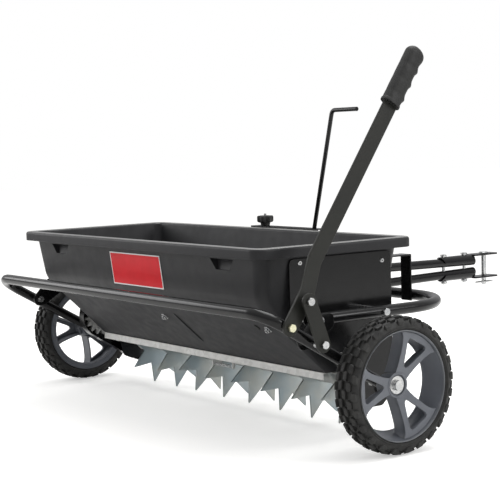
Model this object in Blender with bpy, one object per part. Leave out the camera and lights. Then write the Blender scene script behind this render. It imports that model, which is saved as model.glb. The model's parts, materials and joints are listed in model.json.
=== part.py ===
"""Tow-behind spiker seeder: a hopper on a tube frame, spiked star wheels and a lever that lifts it.

Metres, +Z up, +Y forward along the tow direction, +X the machine's right side. Every Y below is
measured from the wheel axle. The whole machine hangs from one empty that stands the wheels on
Z = 0 with the middle of its length at Y = 0.
"""
import math

import bmesh
import bpy
from mathutils import Matrix, Vector

for old in list(bpy.data.objects):
    bpy.data.objects.remove(old, do_unlink=True)

# Clearances
GAP = 0.0003
BOLT_CLEARANCE = 0.0004

# Hopper: its rim is the widest ring, and its front and rear panels slope from the bend to the floor
HOPPER_LENGTH = 0.914
HOPPER_DEPTH = 0.381
HOPPER_Y = -0.025
HOPPER_TOP = 0.3827
HOPPER_WALL = 0.0040
LIP_HEIGHT = 0.020
LIP_OVERHANG = 0.0205
LIP_WALL = 0.0032
LIP_EDGE = 0.004
LIP_INNER_SHARE = 0.6
LIP_CROWN_SHARE = 0.35
LIP_SHOULDER_SHARE = 0.3
LIP_FOOT_SHARE = 1.2
WALL_DRAFT = 0.130
BEND_Z = 0.275
CORNER_RADIUS = 0.026
FLOOR_Z = 0.133
FLOOR_REAR_Y = -0.032
FLOOR_FRONT_Y = -0.004
FLOOR_END_INSET = 0.0071
FLOOR_CORNER = 0.004
FLOOR_WALL_SLANT = 1.45
METERING_LENGTH = 0.024
METERING_WIDTH = 0.010
METERING_ROUND_SHARE = 0.4

# Finger pockets under the rear lip
POCKET_FROM_END = 0.103
POCKET_LENGTH = 0.078
POCKET_DROP = 0.0252
POCKET_HEIGHT = 0.021
POCKET_DEPTH = 0.008
POCKET_FOOT_DEPTH = 0.0015
POCKET_TAPER = 0.016
POCKET_ROOF_SHARE = 0.6

# Label plate on the rear wall
LABEL_LENGTH = 0.195
LABEL_DROP = 0.0307
LABEL_HEIGHT = 0.0685
LABEL_THICKNESS = 0.0008

# Frame tubes, and the gaps that their bolts' spacers fill
TUBE_RADIUS = 0.011
TUBE_WALL = 0.0018
TUBE_SIDES = 10
LOOP_STANDOFF = 0.0418
LEG_STANDOFF = 0.0117
HUB_STANDOFF = 0.0065

# Wheels: the bead, flank and lugs are shares of half the tyre's width
WHEEL_RADIUS = 0.127
TYRE_WIDTH = 0.057
TYRE_DEPTH = 0.025
BEAD_SHARE = 0.74
FLANK_SHARE = 0.93
LUG_EDGE_SHARE = 0.97
LUG_CREST_SHARE = 0.62
LUG_ROOT_SHARE = 0.12
LUG_ROOT_CUT_SHARE = 0.6
TREAD_DEPTH = 0.0045
TREAD_LUGS = 24
RIM_WIDTH = 0.050
RIM_WALL = 0.0032
RIM_WAIST_SHARE = 1.5
WEB_THICKNESS = 0.014
WEB_SETBACK = 0.012
WINDOW_ROUND = 0.006
WINDOW_FOOT = 0.010
SMALL_WINDOW = (0.022, math.radians(15))
LARGE_WINDOW = (0.012, math.radians(20))
HUB_RADIUS = 0.024
HUB_TAPER_SHARE = 0.8
HUB_SETBACK = 0.017
HUB_SOCKET_WALL = 0.004
HUB_INNER_SETBACK = 0.001

# Lift frame: its cross tube runs behind the hopper, and its legs slope down to the axles
CROSS_STANDOFF = 0.0395
CROSS_Z = 0.275
LIFT_BEND = 0.045
LEVER_FOOT_FROM_CROSS = 0.0425
PIVOT_FROM_CROSS = 0.1025
LEG_OVERRUN = 0.017

# Lever
LEVER_LEAN = math.radians(34.5)
LEVER_LENGTH = 0.583
LEVER_WIDTH = 0.032
LEVER_THICKNESS = 0.006
LEVER_JOG = 0.024
JOG_START = 0.070
JOG_END = 0.135
BRACE_BOLT_UP = 0.054
BRACE_WIDTH = 0.030
BRACE_THICKNESS = 0.005
BRACE_SPACER = 0.0105
GRIP_LENGTH = 0.116
GRIP_WIDTH = 0.044
GRIP_DEPTH = 0.026
GRIP_SIDES = 12
GRIP_POCKET_WIDTH_SHARE = 1.5
GRIP_POCKET_DEPTH_SHARE = 2.5
GRIP_LOBE = 0.0035
GRIP_LOBES = 3
GRIP_COLLAR = 0.002
GRIP_CAP = 0.006
GRIP_CAP_SHARE = 0.78
GRIP_OVERHANG = 0.004

# Main frame loop
LOOP_Z = 0.250
LOOP_BEND = 0.150
LOOP_REACH = 0.1045
LOOP_TAIL = 0.017
REAR_BOLT_FROM_PIVOT = 0.0355
FRONT_BOLT_FROM_SHAFT = 0.044

# Pivot plates: corners as (Y, Z) from the pivot, then from the rear frame bolt
PIVOT_PLATE_THICKNESS = 0.004
PIVOT_PLATE_ROUND = 0.012
PIVOT_CORNERS = ((-0.018, 0.004), (-0.010, -0.016), (0.013, -0.014))
FRAME_CORNERS = ((0.034, -0.013), (0.034, 0.011), (-0.012, 0.013))

# End plates: the rear edge's two lower corners are (Y, Z) from the spiker shaft
END_PLATE_DROP = 0.0247
END_PLATE_THICKNESS = 0.003
END_PLATE_TAIL = 0.013
END_PLATE_TOE = 0.029
END_PLATE_SHOULDER = (-0.070, 0.019)
END_PLATE_HEEL = (-0.056, -0.027)
END_PLATE_ROUND = 0.010

# Spiker
STAR_COUNT = 8
STAR_PITCH = 0.1016
STAR_RADIUS = 0.0885
STAR_VALLEY = 0.0490
STAR_TEETH = 8
STAR_THICKNESS = 0.0045
STAR_TIP_FLAT = 0.0012
STAR_PHASES = (-15.0, -17.3, -27.1, -23.0, -26.4, -21.8, -19.6, -27.8)
STAR_LIFT = 0.0055
STAR_ROOM = 0.0054
SHAFT_RADIUS = 0.0080
SPACER_RADIUS = 0.0125
BEARING_RADIUS = 0.0135
BEARING_FLANGE = 0.018
BEARING_FLANGE_THICKNESS = 0.004
BEARING_PROUD = 0.001
COLLAR_RADIUS = 0.0135
COLLAR_WIDTH = 0.008

# Agitator and its gear train: tooth heights are shares of the module, widths of half a tooth
AGITATOR_SETBACK = 0.0017
AGITATOR_RISE = 0.0368
AGITATOR_RADIUS = 0.005
AGITATOR_WIRE = 0.002
PADDLE_RADIUS = 0.025
PADDLE_PITCH = 0.0508
PADDLE_COUNT = 15
PADDLE_TURN = math.radians(55)
GEAR_WIDTH = 0.010
GEAR_RUN = 0.0045
SHAFT_TEETH = 14
IDLER_TEETH = 11
AGITATOR_TEETH = 17
BACKLASH = 0.0009
TOOTH_HEAD = 0.85
TOOTH_FOOT = 1.15
TOOTH_TIP_SHARE = 0.38
TOOTH_ROOT_SHARE = 1.55
STUB_RADIUS = 0.005
STUB_HEAD = 0.0085
GUARD_THICKNESS = 0.002
GUARD_MARGIN = 0.009
GUARD_ROOM = 0.006
GUARD_ARC = math.radians(86)
GUARD_STEPS = 10

# Closure plate, its guide and its spring
CLOSURE_END_INSET = 0.007
CLOSURE_EDGE_INSET = 0.002
CLOSURE_THICKNESS = 0.0016
CLOSURE_LIP = 0.014
GUIDE_THICKNESS = 0.0016
GUIDE_FLANGE = 0.022
GUIDE_SHELF = 0.006
SPRING_FROM_X = 0.040
SPRING_LENGTH = 0.070
SPRING_SETBACK = 0.012
SPRING_DROP = 0.0097
SPRING_RADIUS = 0.0035
SPRING_WIRE = 0.0007
SPRING_TURNS = 8
SPRING_STEPS = 6
SPRING_EYE = 0.0013
SPRING_LEAD = 0.009
SPRING_TAIL = 0.0032
TAB_THICKNESS = 0.002

# Flow control arm, its bracket, its gauge and its stop
FLOW_BESIDE_STAR = 0.02085
FLOW_PIVOT_RISE = 0.032
FLOW_ROD_STANDOFF = 0.0105
FLOW_ROD_RADIUS = 0.0045
FLOW_LEAN = math.radians(15.6)
FLOW_OPEN_LEAN = math.radians(19.4)
FLOW_TOP_RISE = 0.2513
FLOW_HANDLE = 0.079
FLOW_BEND = 0.012
FLOW_TOE_DROP = 0.045
FLOW_CRANK_REACH = 0.060
FLOW_TOE_SETBACK = 0.0065
FORK_SETBACK = 0.0045
FORK_WIDTH = 0.010
FORK_CLEARANCE = 0.0010
FORK_REACH = 0.006
SLEEVE_WALL = 0.003
SLEEVE_CLEARANCE = 0.0005
SLEEVE_END = 0.018
FLOW_BRACKET_WIDTH = 0.028
FLOW_BRACKET_THICKNESS = 0.003
FLOW_BRACKET_ROUND_SHARE = 0.6
FLOW_BRACKET_DROP = 0.0677
GAUGE_THICKNESS = 0.0025
GAUGE_WIDTH = 0.024
GAUGE_FLANGE = 0.020
GAUGE_END_MARGIN = 0.022
GAUGE_SLOT_CLEARANCE = 0.0015
STOP_X = -0.041
STOP_TRAVEL = 0.020
STOP_NECK = 0.0050
STOP_FLANGE = 0.0100
STOP_FLANGE_THICKNESS = 0.0022
KNOB_RADIUS = 0.0175
KNOB_HEIGHT = 0.021
KNOB_LOBE = 0.0018
KNOB_LOBES = 6
KNOB_STUD = 0.003
KNOB_PROFILE = ((0.0, 0.62, 0.0), (0.25, 0.66, 0.0), (0.4, 1.0, 1.0), (0.88, 1.0, 1.0), (1.0, 0.85, 0.8))

# Drawbar and hitch
DRAWBAR_SETBACK = 0.0075
DRAWBAR_REACH = 0.511
DRAWBAR_NOSE_SPLIT = 0.0130
DRAWBAR_NOSE_Z = 0.2500
DRAWBAR_RADIUS = 0.0105
TONGUE_WIDTH = 0.034
TONGUE_BEYOND_PIN = 0.034
TONGUE_NOSE = ((0.82, 0.012), (0.45, 0.0))
HITCH_PLATE = 0.004
SADDLE_LENGTH = 0.110
SADDLE_END = 0.004
SADDLE_DEPTH = 0.013
SADDLE_WALL = 0.003
HITCH_BOLTS_BACK = (0.0996, 0.0303)
PIN_AHEAD = 0.038
PIN_RADIUS = 0.0063
PIN_TAIL = 0.0182
PIN_HEAD = 0.011
PIN_HEAD_THICKNESS = 0.0028
HAIRPIN_UP = 0.007
HAIRPIN_WIRE = 0.0015
HAIRPIN_LEG = 0.024
HAIRPIN_LOOP = 0.008
HAIRPIN_WAVE = ((-1.0, 1.0), (-0.45, 1.0), (-0.25, 1.12), (0.0, 1.15), (0.25, 1.12), (0.45, 1.0), (0.8, 1.45))

# Drawbar bracket on the hopper's front wall
CHEEK_THICKNESS = 0.003
CHEEK_LENGTH = 0.050
CHEEK_HALF_HEIGHT = 0.038
BACK_PLATE_DROP = 0.0377
BACK_PLATE_WIDTH = 0.060

# Front brackets
FRONT_BRACKET_FROM_BEND = 0.012
FRONT_BRACKET_WIDTH = 0.030
FRONT_BRACKET_THICKNESS = 0.003
FRONT_BRACKET_DROP = 0.0477
FRONT_BRACKET_FLANGE = 0.034

# Fasteners: shank radius, head corner radius, head height
M8 = (0.0040, 0.0075, 0.0055)
AXLE_HEX = (0.0063, 0.0110, 0.0070)
AXLE_WASHER = 0.0165
WASHER_THICKNESS = 0.0018
AXLE_SHOULDER = 0.0105
SPACER_TUBE = 0.0075
THREAD_END = 0.0015


# The hopper's walls, which other pieces seat on

def wall_drop(z):
    """How far the drafted wall has moved in by a height, below the lip."""
    return (HOPPER_TOP - LIP_HEIGHT - z) * WALL_DRAFT


def wall_x(z):
    """The outer face of an end wall, above the bend."""
    return HOPPER_LENGTH / 2 - LIP_OVERHANG - wall_drop(z)


def rear_wall_y(z):
    return HOPPER_Y - HOPPER_DEPTH / 2 + LIP_OVERHANG + wall_drop(z)


def front_wall_y(z):
    return HOPPER_Y + HOPPER_DEPTH / 2 - LIP_OVERHANG - wall_drop(z)


def star_x(k):
    return (k - (STAR_COUNT - 1) / 2) * STAR_PITCH


# Widths, from the hopper out to the wheels
FLOOR_HALF_LENGTH = wall_x(BEND_Z) - FLOOR_END_INSET
END_PLATE_TOP = HOPPER_TOP - END_PLATE_DROP
END_PLATE_X = wall_x(END_PLATE_TOP) + GAP
END_PLATE_OUTER = END_PLATE_X + END_PLATE_THICKNESS
LOOP_X = END_PLATE_OUTER + LOOP_STANDOFF + TUBE_RADIUS
LOOP_OUTER_X = LOOP_X + TUBE_RADIUS
PIVOT_PLATE_X = LOOP_OUTER_X + GAP
PIVOT_PLATE_OUTER = PIVOT_PLATE_X + PIVOT_PLATE_THICKNESS
LEG_INNER_X = PIVOT_PLATE_OUTER + LEG_STANDOFF
LEG_X = LEG_INNER_X + TUBE_RADIUS
LEG_OUTER_X = LEG_X + TUBE_RADIUS
HUB_INNER_X = LEG_OUTER_X + HUB_STANDOFF
WHEEL_X = HUB_INNER_X - HUB_INNER_SETBACK + TYRE_WIDTH / 2
HUB_OUTER_X = WHEEL_X + TYRE_WIDTH / 2 - HUB_SETBACK
RIM_RADIUS = WHEEL_RADIUS - TYRE_DEPTH

# The slope of the front panel, which the closure's guide lies on and the stars clear
PANEL = Vector((front_wall_y(BEND_Z) - FLOOR_FRONT_Y, BEND_Z - FLOOR_Z)).normalized()
SHAFT_Z = STAR_RADIUS + STAR_LIFT
SHAFT_Y = FLOOR_FRONT_Y + (STAR_RADIUS + STAR_ROOM + (SHAFT_Z - FLOOR_Z) * PANEL.x) / PANEL.y

# The gear train: its module follows from the distance between the two shafts
METERING_Y = (FLOOR_REAR_Y + FLOOR_FRONT_Y) / 2
AGITATOR_Y = METERING_Y - AGITATOR_SETBACK
AGITATOR_Z = FLOOR_Z + AGITATOR_RISE
TRAIN_ANGLE = math.atan2(AGITATOR_Z - SHAFT_Z, AGITATOR_Y - SHAFT_Y)
TRAIN_LENGTH = math.hypot(AGITATOR_Z - SHAFT_Z, AGITATOR_Y - SHAFT_Y)
GEAR_MODULE = TRAIN_LENGTH / (SHAFT_TEETH / 2 + IDLER_TEETH + AGITATOR_TEETH / 2)
PITCH_SHAFT = GEAR_MODULE * SHAFT_TEETH / 2
PITCH_IDLER = GEAR_MODULE * IDLER_TEETH / 2
PITCH_AGITATOR = GEAR_MODULE * AGITATOR_TEETH / 2
IDLER_Y = SHAFT_Y + (PITCH_SHAFT + PITCH_IDLER) * math.cos(TRAIN_ANGLE)
IDLER_Z = SHAFT_Z + (PITCH_SHAFT + PITCH_IDLER) * math.sin(TRAIN_ANGLE)
GEAR_X = -(END_PLATE_OUTER + GEAR_RUN)

# Places behind and in front of the hopper
HOPPER_REAR_Y = HOPPER_Y - HOPPER_DEPTH / 2
HOPPER_FRONT_Y = HOPPER_Y + HOPPER_DEPTH / 2
CROSS_Y = HOPPER_REAR_Y - CROSS_STANDOFF
PIVOT_Y = CROSS_Y + PIVOT_FROM_CROSS
LEVER_FOOT_Y = CROSS_Y + LEVER_FOOT_FROM_CROSS
REAR_BOLT_Y = PIVOT_Y + REAR_BOLT_FROM_PIVOT
FRONT_BOLT_Y = SHAFT_Y - FRONT_BOLT_FROM_SHAFT
FRAME_BOLT_YS = (REAR_BOLT_Y, FRONT_BOLT_Y)
LOOP_REAR_Y = REAR_BOLT_Y - LOOP_TAIL
LOOP_FRONT_Y = HOPPER_FRONT_Y + LOOP_REACH
DRAWBAR_REAR_Y = HOPPER_FRONT_Y - DRAWBAR_SETBACK
DRAWBAR_FRONT_Y = LOOP_FRONT_Y + DRAWBAR_REACH
SADDLE_FRONT_Y = DRAWBAR_FRONT_Y - SADDLE_END
SADDLE_REAR_Y = SADDLE_FRONT_Y - SADDLE_LENGTH
HITCH_BOLT_YS = tuple(DRAWBAR_FRONT_Y - back for back in HITCH_BOLTS_BACK)
PIN_Y = DRAWBAR_FRONT_Y + PIN_AHEAD
TONGUE_END_Y = PIN_Y + TONGUE_BEYOND_PIN
AXLE_Y = -(TONGUE_END_Y + CROSS_Y - TUBE_RADIUS) / 2

# The lift frame's legs, its pivot and the lever's foot lie on one sloping line
LEG_SLOPE = (CROSS_Z - WHEEL_RADIUS) / CROSS_Y
PIVOT_Z = WHEEL_RADIUS + LEG_SLOPE * PIVOT_Y
LEVER_FOOT_Z = WHEEL_RADIUS + LEG_SLOPE * LEVER_FOOT_Y
LEVER_X = LEG_OUTER_X + GAP
BRACE_X = LEVER_X + LEVER_THICKNESS + BRACE_SPACER
BRACE_Y = LEVER_FOOT_Y + BRACE_BOLT_UP * math.sin(LEVER_LEAN)
BRACE_Z = LEVER_FOOT_Z + BRACE_BOLT_UP * math.cos(LEVER_LEAN)

# The closure strip, its spring and the arm that slides it
CLOSURE_HALF_LENGTH = FLOOR_HALF_LENGTH - CLOSURE_END_INSET
CLOSURE_TOP = FLOOR_Z - GAP
CLOSURE_BOTTOM = CLOSURE_TOP - CLOSURE_THICKNESS
CLOSURE_REAR_Y = FLOOR_REAR_Y - GAP - CLOSURE_THICKNESS
CLOSURE_FRONT_Y = FLOOR_FRONT_Y - CLOSURE_EDGE_INSET
SPRING_TO_X = SPRING_FROM_X + SPRING_LENGTH
SPRING_Y = METERING_Y - SPRING_SETBACK
SPRING_Z = CLOSURE_TOP - CLOSURE_LIP - SPRING_DROP
FLOW_ROD_Y = HOPPER_FRONT_Y + FLOW_ROD_STANDOFF
FLOW_CRANK_Y = METERING_Y + FLOW_CRANK_REACH
FLOW_PIVOT_X = STAR_PITCH / 2 + FLOW_BESIDE_STAR
FLOW_PIVOT_Z = FLOOR_Z + FLOW_PIVOT_RISE
FLOW_TOP_Z = HOPPER_TOP + FLOW_TOP_RISE
FLOW_TOP_X = FLOW_PIVOT_X + (FLOW_TOP_Z - FLOW_PIVOT_Z) * math.tan(FLOW_LEAN)
FLOW_TOE_X = FLOW_PIVOT_X - FLOW_TOE_DROP * math.sin(FLOW_LEAN)
FLOW_TOE_Z = FLOW_PIVOT_Z - FLOW_TOE_DROP * math.cos(FLOW_LEAN)
CLOSURE_TRAVEL = FLOW_TOE_DROP * (math.sin(FLOW_LEAN) + math.sin(FLOW_OPEN_LEAN))
GAUGE_Z = HOPPER_TOP + GAP
GAUGE_TOP = GAUGE_Z + GAUGE_THICKNESS
GAUGE_ROD_X = FLOW_PIVOT_X + (GAUGE_Z - FLOW_PIVOT_Z) * math.tan(FLOW_LEAN)


# The drawbar's tubes and the hitch's faces

def drawbar_z(y, upper):
    """The centre height of a drawbar tube: the pair clamps the front tube and closes towards the nose."""
    root = TUBE_RADIUS + DRAWBAR_RADIUS + GAP
    t = max(0.0, (y - LOOP_FRONT_Y) / (DRAWBAR_FRONT_Y - LOOP_FRONT_Y))
    middle = LOOP_Z + t * (DRAWBAR_NOSE_Z - LOOP_Z)
    split = root + t * (DRAWBAR_NOSE_SPLIT - root)
    return middle + split if upper else middle - split


def tongue_z(upper):
    """The face of a hitch plate that lies against its drawbar tube."""
    grow = 1 if upper else -1
    return drawbar_z(SADDLE_REAR_Y, upper) + grow * (DRAWBAR_RADIUS + GAP)


PIN_BOTTOM_Z = tongue_z(False) - HITCH_PLATE - PIN_TAIL
HAIRPIN_Z = PIN_BOTTOM_Z + HAIRPIN_UP


# Materials

def finish(name, colour, roughness, metallic):
    material = bpy.data.materials.new(name)
    material.use_nodes = True
    shader = material.node_tree.nodes["Principled BSDF"]
    shader.inputs["Base Color"].default_value = (*colour, 1.0)
    shader.inputs["Roughness"].default_value = roughness
    shader.inputs["Metallic"].default_value = metallic
    return material


HOPPER_PLASTIC = finish("hopper_plastic", (0.047, 0.047, 0.049), 0.42, 0.0)
BLACK_PAINT = finish("black_paint", (0.012, 0.012, 0.013), 0.22, 0.0)
LEVER_PAINT = finish("lever_paint", (0.042, 0.043, 0.038), 0.38, 0.0)
GALVANISED = finish("galvanised", (0.52, 0.52, 0.50), 0.42, 0.9)
STAR_ZINC = finish("star_zinc", (0.30, 0.34, 0.36), 0.36, 0.9)
BRIGHT_ZINC = finish("bright_zinc", (0.68, 0.68, 0.66), 0.25, 1.0)
TYRE_RUBBER = finish("tyre_rubber", (0.016, 0.016, 0.015), 0.78, 0.0)
RIM_PLASTIC = finish("rim_plastic", (0.070, 0.074, 0.090), 0.42, 0.0)
GRIP_VINYL = finish("grip_vinyl", (0.012, 0.012, 0.012), 0.62, 0.0)
LABEL_RED = finish("label_red", (0.66, 0.032, 0.040), 0.35, 0.0)
NYLON = finish("nylon", (0.72, 0.71, 0.66), 0.45, 0.0)


# Flat outlines

def circle(centre, radius, sides=12, start=0.0):
    return [(centre[0] + radius * math.cos(start + 2 * math.pi * k / sides),
             centre[1] + radius * math.sin(start + 2 * math.pi * k / sides)) for k in range(sides)]


def bore(centre, radius, sides=12):
    """A round hole whose flats clear the radius."""
    return circle(centre, radius / math.cos(math.pi / sides), sides)


def rectangle(low, high):
    return [(low[0], low[1]), (high[0], low[1]), (high[0], high[1]), (low[0], high[1])]


def slot(start, end, radius, steps=5):
    """A long hole or link outline: two half circles joined by straight sides."""
    angle = math.atan2(end[1] - start[1], end[0] - start[0])
    points = []
    for centre, turn in ((start, angle + math.pi / 2), (end, angle - math.pi / 2)):
        for k in range(steps + 1):
            a = turn + math.pi * k / steps
            points.append((centre[0] + radius * math.cos(a), centre[1] + radius * math.sin(a)))
    return points


def rounded(corners, radius, steps=3):
    """The same outline with every corner turned into an arc, or into less where a side is short."""
    points = []
    count = len(corners)
    for i in range(count):
        here = Vector(corners[i])
        before = Vector(corners[i - 1]) - here
        after = Vector(corners[(i + 1) % count]) - here
        angle = before.angle(after)
        reach = min(radius / math.tan(angle / 2), 0.45 * before.length, 0.45 * after.length)
        first = here + before.normalized() * reach
        last = here + after.normalized() * reach
        for k in range(steps + 1):
            t = k / steps
            point = first * (1 - t) ** 2 + here * 2 * t * (1 - t) + last * t ** 2
            points.append((point.x, point.y))
    return points


# Solids

def spot(u, v, along, axis):
    """A point of a flat outline, placed across the named axis."""
    if axis == "X":
        return Vector((along, u, v))
    if axis == "Y":
        return Vector((u, along, v))
    return Vector((u, v, along))


def plate(outline, holes, low, high, axis):
    """A flat plate with holes: the outline filled at both ends and walled between."""
    flat = bmesh.new()
    loops = [outline] + list(holes)
    edges = []
    for loop in loops:
        verts = [flat.verts.new(spot(u, v, low, axis)) for u, v in loop]
        edges += [flat.edges.new((verts[i - 1], verts[i])) for i in range(len(verts))]
    bmesh.ops.triangle_fill(flat, use_beauty=True, use_dissolve=False, edges=edges)
    flat.verts.index_update()
    bm = bmesh.new()
    lift = spot(0, 0, high - low, axis)
    bottom = [bm.verts.new(v.co) for v in flat.verts]
    top = [bm.verts.new(v.co + lift) for v in flat.verts]
    for face in flat.faces:
        index = [v.index for v in face.verts]
        bm.faces.new([bottom[i] for i in index])
        bm.faces.new([top[i] for i in reversed(index)])
    start = 0
    for loop in loops:
        count = len(loop)
        for i in range(count):
            a, b = start + i, start + (i + 1) % count
            bm.faces.new((bottom[a], bottom[b], top[b], top[a]))
        start += count
    flat.free()
    bmesh.ops.recalc_face_normals(bm, faces=bm.faces[:])
    return bm


def loft(rings, closed=False):
    """A solid through rings of equal count: capped at both ends, or joined end to start."""
    bm = bmesh.new()
    layers = [[bm.verts.new(point) for point in ring] for ring in rings]
    pairs = list(zip(layers, layers[1:]))
    if closed:
        pairs.append((layers[-1], layers[0]))
    else:
        bm.faces.new(list(reversed(layers[0])))
        bm.faces.new(layers[-1])
    for lower, upper in pairs:
        count = len(lower)
        for i in range(count):
            j = (i + 1) % count
            bm.faces.new((lower[i], lower[j], upper[j], upper[i]))
    bmesh.ops.recalc_face_normals(bm, faces=bm.faces[:])
    return bm


def turned(profile, centre, axis="X", sides=24, start=0.0):
    """A ring turned about an axis line: the profile is a closed list of (radius, along)."""
    rings = []
    for k in range(sides):
        a = start + 2 * math.pi * k / sides
        rings.append([centre + spot(r * math.cos(a), r * math.sin(a), along, axis)
                      for r, along in profile])
    return loft(rings, closed=True)


def stack(base, direction, sections, sides=12):
    """A bar of round and hexagonal steps: each section is (distance from, distance to, radius, is_hex)."""
    direction = Vector(direction).normalized()
    across = direction.orthogonal().normalized()
    other = direction.cross(across)
    rings = []
    for start, end, radius, is_hex in sections:
        ring = []
        for k in range(sides):
            a = 2 * math.pi * k / sides
            r = radius * math.cos(math.pi / 6) if is_hex and sides == 12 and k % 2 else radius
            ring.append(across * r * math.cos(a) + other * r * math.sin(a))
        rings += [[Vector(base) + direction * d + offset for offset in ring] for d in (start, end)]
    return loft(rings)


def rod(start, end, radius, sides=12):
    """A plain round bar between two points."""
    start, end = Vector(start), Vector(end)
    return stack(start, end - start, [(0, (end - start).length, radius, False)], sides)


def bolt_and_nut(y, z, side, faces, size, spacers=(), washer=0.0, sides=6):
    """A bolt along X with its nut and spacers, between an outer and an inner seat.

    The seats are distances from the machine's middle. Each spacer is (outer face, inner face, radius)
    of a gap between two held pieces that it fills.
    """
    shank, head, height = size
    outer, inner = faces
    start = outer + GAP + (WASHER_THICKNESS if washer else 0.0) + height
    sections = [(0.0, height, head, True)]
    if washer:
        sections.append((height, height + WASHER_THICKNESS, washer, False))
    reach = start - outer - GAP
    for high, low, radius in spacers:
        sections.append((reach, start - high + GAP, shank, False))
        sections.append((start - high + GAP, start - low - GAP, radius, False))
        reach = start - low - GAP
    sections.append((reach, start - inner + GAP, shank, False))
    sections.append((start - inner + GAP, start - inner + GAP + height, head, True))
    end = start - inner + GAP + height
    sections.append((end, end + THREAD_END, shank, False))
    return stack((side * start, y, z), (-side, 0, 0), sections, sides)


def upright_bolt(x, y, top, bottom, size, sides=6):
    """A bolt down through seats at two heights, with its nut below."""
    shank, head, height = size
    start = top + GAP + height
    low = start - bottom + GAP
    sections = [(0.0, height, head, True), (height, low, shank, False), (low, low + height, head, True),
                (low + height, low + height + THREAD_END, shank, False)]
    return stack((x, y, start), (0, 0, -1), sections, sides)


def sweep(path, radius, sides=TUBE_SIDES, wall=0.0):
    """A round bar or, with a wall, an open-ended tube along a path."""
    path = [Vector(p) for p in path]
    count = len(path)
    tangents = []
    for i in range(count):
        ahead = path[min(i + 1, count - 1)] - path[max(i - 1, 0)]
        tangents.append(ahead.normalized())
    normal = tangents[0].orthogonal().normalized()
    rings = []
    for i in range(count):
        if i:
            normal = tangents[i - 1].rotation_difference(tangents[i]) @ normal
        binormal = tangents[i].cross(normal)
        rings.append((path[i], normal.copy(), binormal))

    def ring(place, r):
        centre, a, b = place
        return [centre + a * r * math.cos(2 * math.pi * k / sides) + b * r * math.sin(2 * math.pi * k / sides)
                for k in range(sides)]

    outer = [ring(place, radius) for place in rings]
    if not wall:
        return loft(outer)
    inner = [ring(place, radius - wall) for place in reversed(rings)]
    return loft(outer + inner, closed=True)


def bent(corners, radius, steps=4):
    """A path through corner points, with each inner corner bent to a radius."""
    corners = [Vector(c) for c in corners]
    path = [corners[0]]
    for before, here, after in zip(corners, corners[1:], corners[2:]):
        back = (before - here).normalized()
        ahead = (after - here).normalized()
        angle = back.angle(ahead)
        reach = radius / math.tan(angle / 2)
        centre = here + (back + ahead).normalized() * radius / math.sin(angle / 2)
        first = here + back * reach - centre
        normal = first.cross(here + ahead * reach - centre).normalized()
        turn = math.pi - angle
        for k in range(steps + 1):
            path.append(centre + Matrix.Rotation(turn * k / steps, 3, normal) @ first)
    path.append(corners[-1])
    return path


def joined(*solids):
    """Several solids as separate bodies of one mesh."""
    bm = bmesh.new()
    for solid in solids:
        mesh = bpy.data.meshes.new("piece")
        solid.to_mesh(mesh)
        solid.free()
        bm.from_mesh(mesh)
        bpy.data.meshes.remove(mesh)
    return bm


# Bodies and objects

class Body:
    """A rigid group: an empty on its joint's axis, which its parts hang from."""

    def __init__(self, name, origin=(0.0, 0.0, 0.0), parent=None):
        self.origin = Vector(origin)
        self.empty = bpy.data.objects.new(name, None)
        bpy.context.scene.collection.objects.link(self.empty)
        if parent:
            self.empty.parent = parent.empty
            self.empty.location = self.origin - parent.origin
        else:
            self.empty.location = (0.0, AXLE_Y, 0.0)


def add(name, bm, body, material, smooth_angle=35):
    """An object for one sub-part, its mesh moved so that its origin is its body's."""
    bmesh.ops.translate(bm, verts=bm.verts[:], vec=-body.origin)
    mesh = bpy.data.meshes.new(name)
    bm.to_mesh(mesh)
    bm.free()
    mesh.materials.append(material)
    mesh.shade_smooth()
    mesh.set_sharp_from_angle(angle=math.radians(smooth_angle))
    obj = bpy.data.objects.new(name, mesh)
    bpy.context.scene.collection.objects.link(obj)
    obj.parent = body.empty
    return obj


def combine(obj, bm, body, operation):
    """Cut or unite a helper solid with an object through a Boolean modifier."""
    helper = add("helper_" + operation.lower() + "_" + obj.name, bm, body, obj.data.materials[0])
    helper.hide_render = True
    helper.display_type = "WIRE"
    modifier = obj.modifiers.new(operation.title(), "BOOLEAN")
    modifier.operation = operation
    modifier.object = helper
    modifier.solver = "EXACT"


def across_x(x, y, z, radius):
    """A cutter along X, through a tube or bar centred at x, that clears a bolt of the given radius."""
    clear = (radius + BOLT_CLEARANCE) / math.cos(math.pi / TUBE_SIDES)
    return rod((x - 2 * TUBE_RADIUS, y, z), (x + 2 * TUBE_RADIUS, y, z), clear)


def across_z(x, y, z, radius):
    clear = (radius + BOLT_CLEARANCE) / math.cos(math.pi / TUBE_SIDES)
    return rod((x, y, z - 2 * TUBE_RADIUS), (x, y, z + 2 * TUBE_RADIUS), clear)


SIDES = (("right", 1), ("left", -1))


# Hopper

def ring_at(z, x0, x1, y0, y1, radius, steps=4):
    """A rounded rectangle of points at a height."""
    points = []
    left, right, rear, front = x0 + radius, x1 - radius, y0 + radius, y1 - radius
    for x, y, start in ((right, rear, -90), (right, front, 0), (left, front, 90), (left, rear, 180)):
        for k in range(steps + 1):
            a = math.radians(start + 90 * k / steps)
            points.append(Vector((x + radius * math.cos(a), y + radius * math.sin(a), z)))
    return points


def hopper_ring(z, inset, shrink=0.0):
    """A ring of the hopper's rim or walls, a distance in from the outer edge of its rim."""
    half_x, half_y = HOPPER_LENGTH / 2 - inset, HOPPER_DEPTH / 2 - inset
    return ring_at(z, -half_x, half_x, HOPPER_Y - half_y, HOPPER_Y + half_y, CORNER_RADIUS - shrink)


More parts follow.
